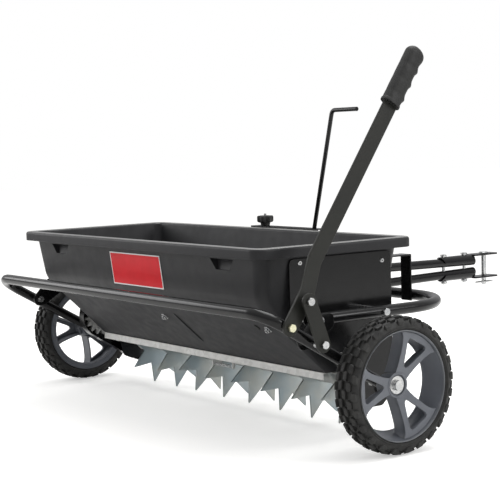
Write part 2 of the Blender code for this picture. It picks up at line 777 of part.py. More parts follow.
def floor_ring(z, wall):
    """The narrow ring at the foot of the sloping panels, outside or one wall inside."""
    sideways = wall * FLOOR_WALL_SLANT
    return ring_at(z, -FLOOR_HALF_LENGTH + wall, FLOOR_HALF_LENGTH - wall,
                   FLOOR_REAR_Y + sideways, FLOOR_FRONT_Y - sideways, FLOOR_CORNER - wall / 2)


def metering_slot(x, low, high):
    """A cutter for one long hole that seed falls through."""
    corners = rectangle((x - METERING_LENGTH / 2, METERING_Y - METERING_WIDTH / 2),
                        (x + METERING_LENGTH / 2, METERING_Y + METERING_WIDTH / 2))
    return plate(rounded(corners, METERING_WIDTH * METERING_ROUND_SHARE, 1), [], low, high, "Z")


def pocket_solid(side, skin, behind):
    """The finger pocket under the rear lip: deep at its top, narrower and shallower at its foot."""
    rings = []
    end = HOPPER_LENGTH / 2 - POCKET_FROM_END
    top = HOPPER_TOP - POCKET_DROP
    for z, depth, inset in ((top - POCKET_HEIGHT - skin, POCKET_FOOT_DEPTH + skin, POCKET_TAPER),
                            (top + skin * POCKET_ROOF_SHARE, POCKET_DEPTH + skin, 0.0)):
        y = rear_wall_y(z)
        near, far = end - POCKET_LENGTH - skin + inset, end + skin - inset
        corners = [(near, y + behind), (far, y + behind),
                   (far - depth / 2, y + depth), (near + depth / 2, y + depth)]
        rings.append([Vector((side * x, yy, z)) for x, yy in corners])
    return loft(rings)


def make_hopper(chassis):
    bend = LIP_OVERHANG + wall_drop(BEND_Z)
    top = LIP_OVERHANG + wall_drop(HOPPER_TOP)
    under_rim = HOPPER_TOP - LIP_WALL - LIP_EDGE
    rings = [
        floor_ring(FLOOR_Z + HOPPER_WALL, HOPPER_WALL),
        hopper_ring(BEND_Z, bend + HOPPER_WALL, HOPPER_WALL),
        hopper_ring(HOPPER_TOP - LIP_EDGE, top + HOPPER_WALL, HOPPER_WALL),
        hopper_ring(HOPPER_TOP, top + HOPPER_WALL - LIP_EDGE * LIP_INNER_SHARE, HOPPER_WALL),
        hopper_ring(HOPPER_TOP, LIP_EDGE),
        hopper_ring(HOPPER_TOP - LIP_EDGE * LIP_CROWN_SHARE, LIP_EDGE * LIP_SHOULDER_SHARE),
        hopper_ring(HOPPER_TOP - LIP_EDGE * LIP_FOOT_SHARE, 0.0),
        hopper_ring(HOPPER_TOP - LIP_HEIGHT, 0.0),
        hopper_ring(HOPPER_TOP - LIP_HEIGHT, LIP_WALL, LIP_WALL),
        hopper_ring(under_rim, LIP_WALL, LIP_WALL),
        hopper_ring(under_rim, LIP_OVERHANG + wall_drop(under_rim)),
        hopper_ring(BEND_Z, bend),
        floor_ring(FLOOR_Z, 0.0),
    ]
    hopper = add("hopper", loft(rings), chassis, HOPPER_PLASTIC)
    skins = [pocket_solid(side, HOPPER_WALL, HOPPER_WALL / 4) for _, side in SIDES]
    combine(hopper, joined(*skins), chassis, "UNION")
    cuts = [pocket_solid(side, 0.0, -HOPPER_WALL / 2) for _, side in SIDES]
    for k in range(STAR_COUNT):
        cuts.append(metering_slot(star_x(k), FLOOR_Z - HOPPER_WALL, FLOOR_Z + 2 * HOPPER_WALL))
    for _, side in SIDES:
        cuts.append(rod((side * (FLOOR_HALF_LENGTH - 3 * HOPPER_WALL), AGITATOR_Y, AGITATOR_Z),
                        (side * END_PLATE_X, AGITATOR_Y, AGITATOR_Z), AGITATOR_RADIUS + 4 * GAP))
    combine(hopper, joined(*cuts), chassis, "DIFFERENCE")


def make_label(chassis):
    rings = []
    top = HOPPER_TOP - LABEL_DROP
    for z in (top - LABEL_HEIGHT, top):
        y = rear_wall_y(z) - GAP
        rings.append([Vector((x, yy, z)) for x, yy in
                      ((-LABEL_LENGTH / 2, y - LABEL_THICKNESS), (LABEL_LENGTH / 2, y - LABEL_THICKNESS),
                       (LABEL_LENGTH / 2, y), (-LABEL_LENGTH / 2, y))])
    add("label_plate", loft(rings), chassis, LABEL_RED)


# End plates and what they carry

def end_plate_outline():
    """The plate's side view: square at the top, tapering to a foot round the spiker shaft."""
    rear, front = REAR_BOLT_Y - END_PLATE_TAIL, SHAFT_Y + END_PLATE_TOE
    foot = BEARING_FLANGE * 2
    lower = (END_PLATE_SHOULDER, END_PLATE_HEEL, (-foot, -foot), (0.0, -foot))
    corners = [(rear, END_PLATE_TOP), (rear, LOOP_Z - TUBE_RADIUS)]
    corners += [(SHAFT_Y + y, SHAFT_Z + z) for y, z in lower]
    corners += [(front, SHAFT_Z - BEARING_FLANGE / 2), (front, END_PLATE_TOP)]
    return rounded(corners, END_PLATE_ROUND, 2)


def make_end_plates(chassis):
    for name, side in SIDES:
        holes = [bore((y, LOOP_Z), M8[0] + BOLT_CLEARANCE) for y in FRAME_BOLT_YS]
        holes.append(bore((SHAFT_Y, SHAFT_Z), BEARING_RADIUS + GAP, 16))
        holes.append(bore((AGITATOR_Y, AGITATOR_Z), AGITATOR_RADIUS + BOLT_CLEARANCE))
        low, high = sorted((side * END_PLATE_X, side * END_PLATE_OUTER))
        sheet = plate(end_plate_outline(), holes, low, high, "X")
        end_plate = add("end_plate_" + name, sheet, chassis, BLACK_PAINT)
        if side < 0:
            gear = GEAR_RUN + GEAR_WIDTH
            sections = [(-END_PLATE_THICKNESS / 2, gear + 2 * GAP, STUB_RADIUS, False),
                        (gear + 2 * GAP, gear + 2 * GAP + THREAD_END, STUB_HEAD, False)]
            stub = stack((-END_PLATE_OUTER, IDLER_Y, IDLER_Z), (-1, 0, 0), sections)
            combine(end_plate, stub, chassis, "UNION")


def make_bearings(chassis):
    """Flanged bushes for the spiker shaft, one in each end plate."""
    for name, side in SIDES:
        inner, outer = END_PLATE_X - BEARING_FLANGE_THICKNESS, END_PLATE_OUTER + BEARING_PROUD
        flange = END_PLATE_X - GAP
        hole = SHAFT_RADIUS + GAP
        profile = [(hole, side * inner), (BEARING_FLANGE, side * inner), (BEARING_FLANGE, side * flange),
                   (BEARING_RADIUS, side * flange), (BEARING_RADIUS, side * outer), (hole, side * outer)]
        add("shaft_bearing_" + name, turned(profile, Vector((0, SHAFT_Y, SHAFT_Z)), "X", 20), chassis, NYLON)


def guard_outline(extra):
    """Two arcs, round the shaft's gear and round the agitator's, joined by straight runs."""
    points = []
    for y, z, pitch, middle in ((SHAFT_Y, SHAFT_Z, PITCH_SHAFT, TRAIN_ANGLE + math.pi),
                                (AGITATOR_Y, AGITATOR_Z, PITCH_AGITATOR, TRAIN_ANGLE)):
        r = pitch + GUARD_MARGIN + extra
        for k in range(GUARD_STEPS + 1):
            a = middle + GUARD_ARC * (1 - 2 * k / GUARD_STEPS)
            points.append((y + r * math.cos(a), z + r * math.sin(a)))
    return points


def make_gear_guard(chassis):
    """The cover over the gears: a face with a rim, open towards the end plate."""
    face = -(END_PLATE_OUTER + GEAR_RUN + GEAR_WIDTH + GUARD_ROOM + GUARD_THICKNESS)
    back = -(END_PLATE_OUTER + GAP)
    inner, outer = guard_outline(0.0), guard_outline(GUARD_THICKNESS)
    rings = []
    for outline, x in ((inner, face + GUARD_THICKNESS), (inner, back), (outer, back), (outer, face)):
        rings.append([spot(y, z, x, "X") for y, z in outline])
    add("gear_guard", loft(rings), chassis, BLACK_PAINT)


# Main frame

def make_main_frame(chassis):
    path = bent([(LOOP_X, LOOP_REAR_Y, LOOP_Z), (LOOP_X, LOOP_FRONT_Y, LOOP_Z),
                 (-LOOP_X, LOOP_FRONT_Y, LOOP_Z), (-LOOP_X, LOOP_REAR_Y, LOOP_Z)], LOOP_BEND, 6)
    tube = add("main_frame_tube", sweep(path, TUBE_RADIUS, wall=TUBE_WALL), chassis, BLACK_PAINT)
    cuts = [across_z(0.0, LOOP_FRONT_Y, LOOP_Z, M8[0])]
    for _, side in SIDES:
        cuts += [across_x(side * LOOP_X, y, LOOP_Z, M8[0]) for y in FRAME_BOLT_YS]
    combine(tube, joined(*cuts), chassis, "DIFFERENCE")
    for name, side in SIDES:
        gap_filler = (LOOP_X - TUBE_RADIUS, END_PLATE_OUTER, SPACER_TUBE)
        add("frame_bolt_rear_" + name,
            bolt_and_nut(REAR_BOLT_Y, LOOP_Z, side, (PIVOT_PLATE_OUTER, END_PLATE_X), M8, [gap_filler]),
            chassis, BRIGHT_ZINC)
        add("frame_bolt_front_" + name,
            bolt_and_nut(FRONT_BOLT_Y, LOOP_Z, side, (LOOP_OUTER_X, END_PLATE_X), M8, [gap_filler]),
            chassis, BRIGHT_ZINC)


def make_front_brackets(chassis):
    """Two straps that stand against the front tube and hook back to the hopper's front wall."""
    thick = FRONT_BRACKET_THICKNESS
    top = HOPPER_TOP - FRONT_BRACKET_DROP
    middle = LOOP_X - LOOP_BEND - FRONT_BRACKET_FROM_BEND
    wall = front_wall_y(top) + GAP
    stem = LOOP_FRONT_Y - TUBE_RADIUS - GAP
    lean = wall_drop(top - FRONT_BRACKET_FLANGE) - wall_drop(top)
    outline = [(stem, LOOP_Z - TUBE_RADIUS), (stem, top), (wall, top),
               (wall - lean, top - FRONT_BRACKET_FLANGE), (wall - lean + thick, top - FRONT_BRACKET_FLANGE),
               (wall + thick, top - thick), (stem - thick, top - thick), (stem - thick, LOOP_Z - TUBE_RADIUS)]
    for name, side in SIDES:
        low, high = side * middle - FRONT_BRACKET_WIDTH / 2, side * middle + FRONT_BRACKET_WIDTH / 2
        add("front_bracket_" + name, plate(outline, [], low, high, "X"), chassis, BLACK_PAINT)


def make_pivot_plates(chassis):
    """The plates at the rear ends of the frame tube that the lift frame swings on."""
    corners = [(PIVOT_Y + y, PIVOT_Z + z) for y, z in PIVOT_CORNERS]
    corners += [(REAR_BOLT_Y + y, LOOP_Z + z) for y, z in FRAME_CORNERS]
    hole = M8[0] + BOLT_CLEARANCE
    holes = [bore((PIVOT_Y, PIVOT_Z), hole), bore((REAR_BOLT_Y, LOOP_Z), hole)]
    for name, side in SIDES:
        low, high = sorted((side * PIVOT_PLATE_X, side * PIVOT_PLATE_OUTER))
        outline = rounded(corners, PIVOT_PLATE_ROUND, 3)
        add("pivot_plate_" + name, plate(outline, holes, low, high, "X"), chassis, BLACK_PAINT)


# Drawbar and hitch

def make_drawbar(chassis):
    for name, upper in (("upper", True), ("lower", False)):
        path = [(0.0, y, drawbar_z(y, upper)) for y in (DRAWBAR_REAR_Y, LOOP_FRONT_Y, DRAWBAR_FRONT_Y)]
        tube = add("drawbar_tube_" + name, sweep(path, DRAWBAR_RADIUS, wall=TUBE_WALL), chassis, BLACK_PAINT)
        cuts = [across_z(0.0, y, drawbar_z(y, upper), M8[0]) for y in (LOOP_FRONT_Y,) + HITCH_BOLT_YS]
        combine(tube, joined(*cuts), chassis, "DIFFERENCE")
    clamp = upright_bolt(0.0, LOOP_FRONT_Y, drawbar_z(LOOP_FRONT_Y, True) + DRAWBAR_RADIUS,
                         drawbar_z(LOOP_FRONT_Y, False) - DRAWBAR_RADIUS, M8)
    add("drawbar_bolt", clamp, chassis, BRIGHT_ZINC)


def make_drawbar_bracket(chassis):
    """A channel on the hopper's front wall whose cheeks hold the rear ends of the drawbar tubes."""
    cheek = DRAWBAR_RADIUS + GAP
    outside = cheek + CHEEK_THICKNESS
    top, low, high = HOPPER_TOP - BACK_PLATE_DROP, LOOP_Z - CHEEK_HALF_HEIGHT, LOOP_Z + CHEEK_HALF_HEIGHT
    back = front_wall_y(top) + GAP
    inside = back + CHEEK_THICKNESS
    front = DRAWBAR_REAR_Y + CHEEK_LENGTH
    section = [(-outside, back), (outside, back), (outside, front), (cheek, front),
               (cheek, inside), (-cheek, inside), (-cheek, front), (-outside, front)]
    bracket = add("drawbar_bracket", plate(section, [], low, high, "Z"), chassis, BLACK_PAINT)
    half = BACK_PLATE_WIDTH / 2
    corners = [(-outside, low + CHEEK_THICKNESS), (outside, low + CHEEK_THICKNESS), (half, high), (half, top),
               (-half, top), (-half, high)]
    combine(bracket, plate(corners, [], back + GAP, inside - GAP, "Y"), chassis, "UNION")


def make_hitch_plates(chassis):
    half = TONGUE_WIDTH / 2
    for name, grow in (("upper", 1), ("lower", -1)):
        face = tongue_z(grow > 0)
        low, high = sorted((face, face + grow * HITCH_PLATE))
        right = [(half, SADDLE_REAR_Y), (half, SADDLE_FRONT_Y)]
        right += [(half * share, TONGUE_END_Y - back) for share, back in TONGUE_NOSE]
        outline = right + [(-x, y) for x, y in reversed(right)]
        holes = [bore((0.0, PIN_Y), PIN_RADIUS + BOLT_CLEARANCE, 16)]
        holes += [bore((0.0, y), M8[0] + BOLT_CLEARANCE) for y in HITCH_BOLT_YS]
        hitch = add("hitch_plate_" + name, plate(outline, holes, low, high, "Z"), chassis, BLACK_PAINT)
        flanges = []
        for side in (1, -1):
            x0, x1 = sorted((side * (DRAWBAR_RADIUS + GAP), side * (DRAWBAR_RADIUS + GAP + SADDLE_WALL)))
            z0, z1 = sorted((face + grow * HITCH_PLATE / 2, face - grow * SADDLE_DEPTH))
            corners = rectangle((SADDLE_REAR_Y + GAP, z0), (SADDLE_FRONT_Y - GAP, z1))
            flanges.append(plate(corners, [], x0, x1, "X"))
        combine(hitch, joined(*flanges), chassis, "UNION")
    for name, y in zip(("rear", "front"), HITCH_BOLT_YS):
        clamp = upright_bolt(0.0, y, tongue_z(True) + HITCH_PLATE, tongue_z(False) - HITCH_PLATE, M8)
        add("hitch_bolt_" + name, clamp, chassis, BRIGHT_ZINC)


def make_pin(pin):
    seat = tongue_z(True) + HITCH_PLATE + GAP - PIN_BOTTOM_Z
    sections = [(0.0, seat, PIN_RADIUS, False), (seat, seat + PIN_HEAD_THICKNESS, PIN_HEAD, False)]
    obj = add("hitch_pin", stack((0.0, PIN_Y, PIN_BOTTOM_Z), (0, 0, 1), sections, 16), pin, BRIGHT_ZINC)
    through = HAIRPIN_WIRE + GAP * 1.5
    hole = rod((0.0, PIN_Y - 2 * PIN_RADIUS, HAIRPIN_Z), (0.0, PIN_Y + 2 * PIN_RADIUS, HAIRPIN_Z), through, 8)
    combine(obj, hole, pin, "DIFFERENCE")


def make_hairpin(hairpin):
    """A spring clip: its straight leg goes through the pin, and its waved leg runs round the pin."""
    beside = PIN_RADIUS + HAIRPIN_WIRE + 2 * GAP
    turn = beside / 2
    path = [(0.0, PIN_Y + HAIRPIN_LEG * along, HAIRPIN_Z) for along in (1, 0, -1)]
    for k in range(1, 8):
        a = math.pi * k / 8
        path.append((turn - turn * math.cos(a), PIN_Y - HAIRPIN_LEG - HAIRPIN_LOOP * math.sin(a), HAIRPIN_Z))
    for along, out in HAIRPIN_WAVE:
        path.append((beside * out, PIN_Y + HAIRPIN_LEG * along, HAIRPIN_Z))
    add("hairpin", sweep(path, HAIRPIN_WIRE, 6), hairpin, BRIGHT_ZINC)


# Lift frame

def make_lift_tube(lift):
    down = Vector((0.0, -CROSS_Y, WHEEL_RADIUS - CROSS_Z)).normalized()
    end = Vector((0.0, 0.0, WHEEL_RADIUS)) + down * LEG_OVERRUN
    corners = [(LEG_X, end.y, end.z), (LEG_X, CROSS_Y, CROSS_Z),
               (-LEG_X, CROSS_Y, CROSS_Z), (-LEG_X, end.y, end.z)]
    tube = add("lift_tube", sweep(bent(corners, LIFT_BEND), TUBE_RADIUS, wall=TUBE_WALL), lift, BLACK_PAINT)
    cuts = [across_x(LEG_X, LEVER_FOOT_Y, LEVER_FOOT_Z, M8[0])]
    for _, side in SIDES:
        cuts.append(across_x(side * LEG_X, 0.0, WHEEL_RADIUS, AXLE_HEX[0]))
        cuts.append(across_x(side * LEG_X, PIVOT_Y, PIVOT_Z, M8[0]))
    combine(tube, joined(*cuts), lift, "DIFFERENCE")


def lever_point(along, aside, x):
    """A point of the lever: along it from its foot bolt, and aside towards its front edge."""
    y = LEVER_FOOT_Y + along * math.sin(LEVER_LEAN) + aside * math.cos(LEVER_LEAN)
    z = LEVER_FOOT_Z + along * math.cos(LEVER_LEAN) - aside * math.sin(LEVER_LEAN)
    return Vector((x, y, z))


def lever_x(along):
    """The bar's inner face: it steps inboard between its two gentle bends."""
    t = (along - JOG_START) / (JOG_END - JOG_START)
    return LEVER_X - LEVER_JOG * max(0.0, min(t, 1.0))


def make_lever(lift):
    half = LEVER_WIDTH / 2
    turns = [math.radians(degrees) for degrees in (15, 30, 50, 70, 90)]
    stations = [(-half * math.cos(a), half * math.sin(a)) for a in turns]
    stations += [(JOG_START, half), (JOG_END, half), (LEVER_LENGTH - GRIP_OVERHANG - half / 2, half),
                 (LEVER_LENGTH - GRIP_OVERHANG, half / 2)]
    rings = []
    for along, wide in stations:
        inner = lever_x(along)
        outer = inner + LEVER_THICKNESS
        rings.append([lever_point(along, -wide, inner), lever_point(along, wide, inner),
                      lever_point(along, wide, outer), lever_point(along, -wide, outer)])
    bar = add("lever_bar", loft(rings), lift, LEVER_PAINT)
    combine(bar, joined(across_x(LEVER_X, LEVER_FOOT_Y, LEVER_FOOT_Z, M8[0]),
                        across_x(LEVER_X, BRACE_Y, BRACE_Z, M8[0])), lift, "DIFFERENCE")
    ends = ((BRACE_Y, BRACE_Z), (PIVOT_Y, PIVOT_Z))
    holes = [bore(end, M8[0] + BOLT_CLEARANCE) for end in ends]
    brace = plate(slot(*ends, BRACE_WIDTH / 2, 8), holes, BRACE_X, BRACE_X + BRACE_THICKNESS, "X")
    add("lever_brace", brace, lift, LEVER_PAINT)


def grip_ring(along, back, front, deep, x):
    """A rounded section of the grip: its back and front half widths, and its half depth."""
    points = []
    for k in range(GRIP_SIDES):
        a = 2 * math.pi * k / GRIP_SIDES
        wide = front if math.cos(a) > 0 else back
        points.append(lever_point(along, wide * math.cos(a), x + deep * math.sin(a)))
    return points


def pocket_ring(along, x):
    """The flat-sided hole in the grip that the bar fills, with as many points as the outside."""
    half, deep = LEVER_WIDTH / 2 + GAP, LEVER_THICKNESS / 2 + GAP
    points = []
    for k in range(GRIP_SIDES):
        a = 2 * math.pi * k / GRIP_SIDES
        wide = max(-half, min(half, GRIP_POCKET_WIDTH_SHARE * half * math.cos(a)))
        thick = max(-deep, min(deep, GRIP_POCKET_DEPTH_SHARE * deep * math.sin(a)))
        points.append(lever_point(along, wide, x + thick))
    return points


def make_grip(lift):
    """A moulded grip with three finger lobes on its front edge, over a pocket for the bar."""
    start = LEVER_LENGTH - GRIP_LENGTH
    x = LEVER_X - LEVER_JOG + LEVER_THICKNESS / 2
    back, deep = GRIP_WIDTH / 2, GRIP_DEPTH / 2
    collar = [size + GRIP_COLLAR for size in (back, back, deep)]
    rings = [pocket_ring(LEVER_LENGTH - GRIP_OVERHANG + GAP, x), pocket_ring(start, x),
             grip_ring(start, *collar, x), grip_ring(start + 3 * GRIP_COLLAR, *collar, x)]
    steps = 3 * GRIP_LOBES
    for k in range(steps + 1):
        along = start + 4 * GRIP_COLLAR + (GRIP_LENGTH - 6 * GRIP_COLLAR) * k / steps
        bulge = GRIP_LOBE * (1 - math.cos(2 * math.pi * GRIP_LOBES * k / steps)) / 2
        rings.append(grip_ring(along, back, back - GRIP_LOBE / 2 + bulge, deep, x))
    rings.append(grip_ring(LEVER_LENGTH, back - GRIP_LOBE / 4, back - GRIP_LOBE / 4, deep - GRIP_LOBE / 4, x))
    end = [size * GRIP_CAP_SHARE for size in (back, back, deep)]
    rings.append(grip_ring(LEVER_LENGTH + GRIP_CAP, *end, x))
    add("lever_grip", loft(rings), lift, GRIP_VINYL)


def make_lift_fasteners(lift):
    lever_outer = LEVER_X + LEVER_THICKNESS
    brace_outer = BRACE_X + BRACE_THICKNESS
    hub_spacer = (LEG_INNER_X, PIVOT_PLATE_OUTER, SPACER_TUBE)
    brace_spacer = (BRACE_X, lever_outer, SPACER_TUBE)
    pivot_spacer = (BRACE_X, LEG_OUTER_X, SPACER_TUBE)
    for name, y, z, side, faces, spacers in (
            ("lever_foot_bolt", LEVER_FOOT_Y, LEVER_FOOT_Z, 1, (lever_outer, LEG_INNER_X), []),
            ("brace_bolt", BRACE_Y, BRACE_Z, 1, (brace_outer, LEVER_X), [brace_spacer]),
            ("pivot_bolt_right", PIVOT_Y, PIVOT_Z, 1, (brace_outer, PIVOT_PLATE_X),
             [pivot_spacer, hub_spacer]),
            ("pivot_bolt_left", PIVOT_Y, PIVOT_Z, -1, (LEG_OUTER_X, PIVOT_PLATE_X), [hub_spacer])):
        add(name, bolt_and_nut(y, z, side, faces, M8, spacers), lift, BRIGHT_ZINC)
    for name, side in SIDES:
        axle = bolt_and_nut(0.0, WHEEL_RADIUS, side, (HUB_OUTER_X, LEG_INNER_X), AXLE_HEX,
                            [(HUB_INNER_X, LEG_OUTER_X, AXLE_SHOULDER)], AXLE_WASHER, 12)
        add("axle_bolt_" + name, axle, lift, BRIGHT_ZINC)


# Wheels

def make_tyre(name, side, body):
    """A tyre whose tread rises and falls in two staggered rows of lugs."""
    half = TYRE_WIDTH / 2
    count = TREAD_LUGS * 2
    seat = RIM_RADIUS + GAP
    shoulder = WHEEL_RADIUS - 2 * TREAD_DEPTH
    rings = []
    for k in range(count):
        a = -math.pi / 2 + 2 * math.pi * k / count
        near, far = (0.0, TREAD_DEPTH) if k % 2 == 0 else (TREAD_DEPTH, 0.0)
        section = [(seat, -half * BEAD_SHARE), (seat + TREAD_DEPTH, -half * FLANK_SHARE), (shoulder, -half)]
        for sign, cut in ((-1, near), (1, far)):
            row = [(WHEEL_RADIUS - TREAD_DEPTH / 2 - cut, half * LUG_EDGE_SHARE * sign),
                   (WHEEL_RADIUS - cut, half * LUG_CREST_SHARE * sign),
                   (WHEEL_RADIUS - cut * LUG_ROOT_CUT_SHARE, half * LUG_ROOT_SHARE * sign)]
            section += row if sign < 0 else list(reversed(row))
        section += [(shoulder, half), (seat + TREAD_DEPTH, half * FLANK_SHARE), (seat, half * BEAD_SHARE)]
        rings.append([Vector((side * (WHEEL_X + x), r * math.cos(a), WHEEL_RADIUS + r * math.sin(a)))
                      for r, x in section])
    add("tyre_" + name, loft(rings, closed=True), body, TYRE_RUBBER, 25)


def window(middle, margin, half_angle):
    """A rounded three-cornered window in the wheel's web, its point towards the hub."""
    near, far = HUB_RADIUS + WINDOW_FOOT, RIM_RADIUS - margin
    corners = [(near, 0.0), (far, half_angle), (far, -half_angle)]
    points = [(r * math.cos(middle + a), WHEEL_RADIUS + r * math.sin(middle + a)) for r, a in corners]
    return rounded(points, WINDOW_ROUND, 2)


def make_rim(name, side, body):
    """A moulded rim: barrel, hub and a web with three small and three large windows."""
    centre = Vector((0.0, 0.0, WHEEL_RADIUS))
    inner_edge, outer_edge = side * (WHEEL_X - RIM_WIDTH / 2), side * (WHEEL_X + RIM_WIDTH / 2)
    barrel = [(RIM_RADIUS, inner_edge), (RIM_RADIUS, outer_edge), (RIM_RADIUS - RIM_WALL, outer_edge),
              (RIM_RADIUS - RIM_WALL * RIM_WAIST_SHARE, side * WHEEL_X), (RIM_RADIUS - RIM_WALL, inner_edge)]
    rim = add("rim_" + name, turned(barrel, centre, "X", 36), body, RIM_PLASTIC)
    face = WHEEL_X + TYRE_WIDTH / 2 - WEB_SETBACK
    holes = [circle((0.0, WHEEL_RADIUS), HUB_RADIUS - HUB_SOCKET_WALL, 16)]
    for k in range(3):
        holes.append(window(math.radians(60 + 120 * k), *SMALL_WINDOW))
        holes.append(window(math.radians(120 * k), *LARGE_WINDOW))
    low, high = sorted((side * face, side * (face - WEB_THICKNESS)))
    web = plate(circle((0.0, WHEEL_RADIUS), RIM_RADIUS - RIM_WALL / 2, 36), holes, low, high, "X")
    combine(rim, web, body, "UNION")
    clear = (AXLE_HEX[0] + BOLT_CLEARANCE) / math.cos(math.pi / 16)
    hub = turned([(clear, side * HUB_INNER_X), (HUB_RADIUS * HUB_TAPER_SHARE, side * HUB_INNER_X),
                  (HUB_RADIUS, side * (face - WEB_THICKNESS)), (HUB_RADIUS, side * HUB_OUTER_X),
                  (clear, side * HUB_OUTER_X)], centre, "X", 16)
    combine(rim, hub, body, "UNION")


# Spiker

def star_outline(phase):
    points = []
    tip = STAR_TIP_FLAT / STAR_RADIUS / 2
    for k in range(STAR_TEETH):
        a = math.radians(-90 + phase) + 2 * math.pi * k / STAR_TEETH
        for r, turn in ((STAR_RADIUS, -tip), (STAR_RADIUS, tip), (STAR_VALLEY, math.pi / STAR_TEETH)):
            points.append((SHAFT_Y + r * math.cos(a + turn), SHAFT_Z + r * math.sin(a + turn)))
    return points


def make_spiker(spiker):
    for k in range(STAR_COUNT):
        low = star_x(k) - STAR_THICKNESS / 2
        hole = bore((SHAFT_Y, SHAFT_Z), SHAFT_RADIUS + GAP)
        star = plate(star_outline(STAR_PHASES[k]), [hole], low, low + STAR_THICKNESS, "X")
        add("spiker_star_%d" % (k + 1), star, spiker, STAR_ZINC)
    start = GEAR_X - GEAR_WIDTH - THREAD_END
    bearing = END_PLATE_X - BEARING_FLANGE_THICKNESS - GAP
    collar = END_PLATE_OUTER + BEARING_PROUD + GAP
    spacers = []
    reach = -bearing
    for k in range(STAR_COUNT):
        spacers.append((reach, star_x(k) - STAR_THICKNESS / 2 - GAP, SPACER_RADIUS))
        reach = star_x(k) + STAR_THICKNESS / 2 + GAP
    spacers += [(reach, bearing, SPACER_RADIUS), (collar, collar + COLLAR_WIDTH, COLLAR_RADIUS)]
    sections = []
    reach = start
    for low, high, radius in spacers:
        sections.append((reach - start, low - start, SHAFT_RADIUS, False))
        sections.append((low - start, high - start, radius, False))
        reach = high
    sections.append((reach - start, reach + THREAD_END - start, SHAFT_RADIUS, False))
    shaft = add("spiker_shaft", stack((start, SHAFT_Y, SHAFT_Z), (1, 0, 0), sections, 10), spiker, GALVANISED)
    teeth = gear_outline((SHAFT_Y, SHAFT_Z), SHAFT_TEETH, TRAIN_ANGLE)
    combine(shaft, plate(teeth, [], GEAR_X - GEAR_WIDTH, GEAR_X, "X"), spiker, "UNION")


# Gears and agitator

def gear_outline(centre, teeth, phase):
    """Spur teeth with straight flanks through the tip, the pitch circle and the root."""
    pitch = GEAR_MODULE * teeth / 2
    tip, root = pitch + GEAR_MODULE * TOOTH_HEAD, pitch - GEAR_MODULE * TOOTH_FOOT
    half = (math.pi * GEAR_MODULE / 4 - BACKLASH / 2) / pitch
    points = []
    for k in range(teeth):
        a = phase + 2 * math.pi * k / teeth
        for r, share in ((root, -TOOTH_ROOT_SHARE), (pitch, -1.0), (tip, -TOOTH_TIP_SHARE),
                         (tip, TOOTH_TIP_SHARE), (pitch, 1.0), (root, TOOTH_ROOT_SHARE)):
            turn = a + half * share
            points.append((centre[0] + r * math.cos(turn), centre[1] + r * math.sin(turn)))
    return points


def make_gears(idler, agitator):
    """The idler and the agitator's gear, each turned so that its teeth fall between its neighbour's."""
    low, high = GEAR_X - GEAR_WIDTH, GEAR_X
    idler_phase = TRAIN_ANGLE + math.pi + math.pi / IDLER_TEETH
    teeth = gear_outline((IDLER_Y, IDLER_Z), IDLER_TEETH, idler_phase)
    hole = bore((IDLER_Y, IDLER_Z), STUB_RADIUS + BOLT_CLEARANCE)
    add("idler_gear", plate(teeth, [hole], low, high, "X"), idler, NYLON)
    toward = (TRAIN_ANGLE - idler_phase) * IDLER_TEETH / AGITATOR_TEETH
    agitator_phase = TRAIN_ANGLE + math.pi + math.pi / AGITATOR_TEETH + toward
    ends = [(x, AGITATOR_Y, AGITATOR_Z) for x in (low - THREAD_END, END_PLATE_OUTER + COLLAR_WIDTH)]
    obj = add("agitator_rod", rod(*ends, AGITATOR_RADIUS, 10), agitator, GALVANISED)
    teeth = gear_outline((AGITATOR_Y, AGITATOR_Z), AGITATOR_TEETH, agitator_phase)
    wires = [plate(teeth, [], low, high, "X")]
    for k in range(PADDLE_COUNT):
        centre = Vector(((k - (PADDLE_COUNT - 1) / 2) * PADDLE_PITCH, AGITATOR_Y, AGITATOR_Z))
        reach = Vector((0.0, math.cos(PADDLE_TURN * k), math.sin(PADDLE_TURN * k))) * PADDLE_RADIUS
        wires.append(rod(centre - reach, centre + reach, AGITATOR_WIRE, 4))
    combine(obj, joined(*wires), agitator, "UNION")


# Closure plate and its spring

def make_closure(closure):
    """The folded strip under the hopper: its holes meet the hopper's when it slides right."""
    rear, top = CLOSURE_REAR_Y, CLOSURE_TOP
    section = [(rear, top - CLOSURE_LIP), (rear + CLOSURE_THICKNESS, top - CLOSURE_LIP),
               (rear + CLOSURE_THICKNESS, CLOSURE_BOTTOM), (CLOSURE_FRONT_Y, CLOSURE_BOTTOM),
               (CLOSURE_FRONT_Y, top), (rear, top)]
    sheet = plate(section, [], -CLOSURE_HALF_LENGTH, CLOSURE_HALF_LENGTH, "X")
    strip = add("closure_plate", sheet, closure, GALVANISED)
    low, high = CLOSURE_BOTTOM - CLOSURE_THICKNESS, top + CLOSURE_THICKNESS
    slots = [metering_slot(star_x(k) - CLOSURE_TRAVEL, low, high) for k in range(STAR_COUNT)]
    combine(strip, joined(*slots), closure, "DIFFERENCE")
    tabs = []
    fork_y = METERING_Y - FORK_SETBACK
    for side in (-1, 1):
        inner = FLOW_TOE_X + side * (FLOW_ROD_RADIUS + FORK_CLEARANCE)
        low, high = sorted((inner, inner + side * TAB_THICKNESS))
        corners = rectangle((fork_y, FLOW_TOE_Z - FORK_REACH),
                            (fork_y + FORK_WIDTH, CLOSURE_BOTTOM + CLOSURE_THICKNESS / 2))
        tabs.append(plate(corners, [], low, high, "X"))
    tab = rectangle((rear + GAP, SPRING_Z - SPRING_RADIUS),
                    (SPRING_Y + SPRING_RADIUS, top - CLOSURE_LIP + CLOSURE_THICKNESS))
    tabs.append(plate(tab, [circle((SPRING_Y, SPRING_Z), SPRING_EYE, 8)],
                      SPRING_TO_X, SPRING_TO_X + TAB_THICKNESS, "X"))
    combine(strip, joined(*tabs), closure, "UNION")


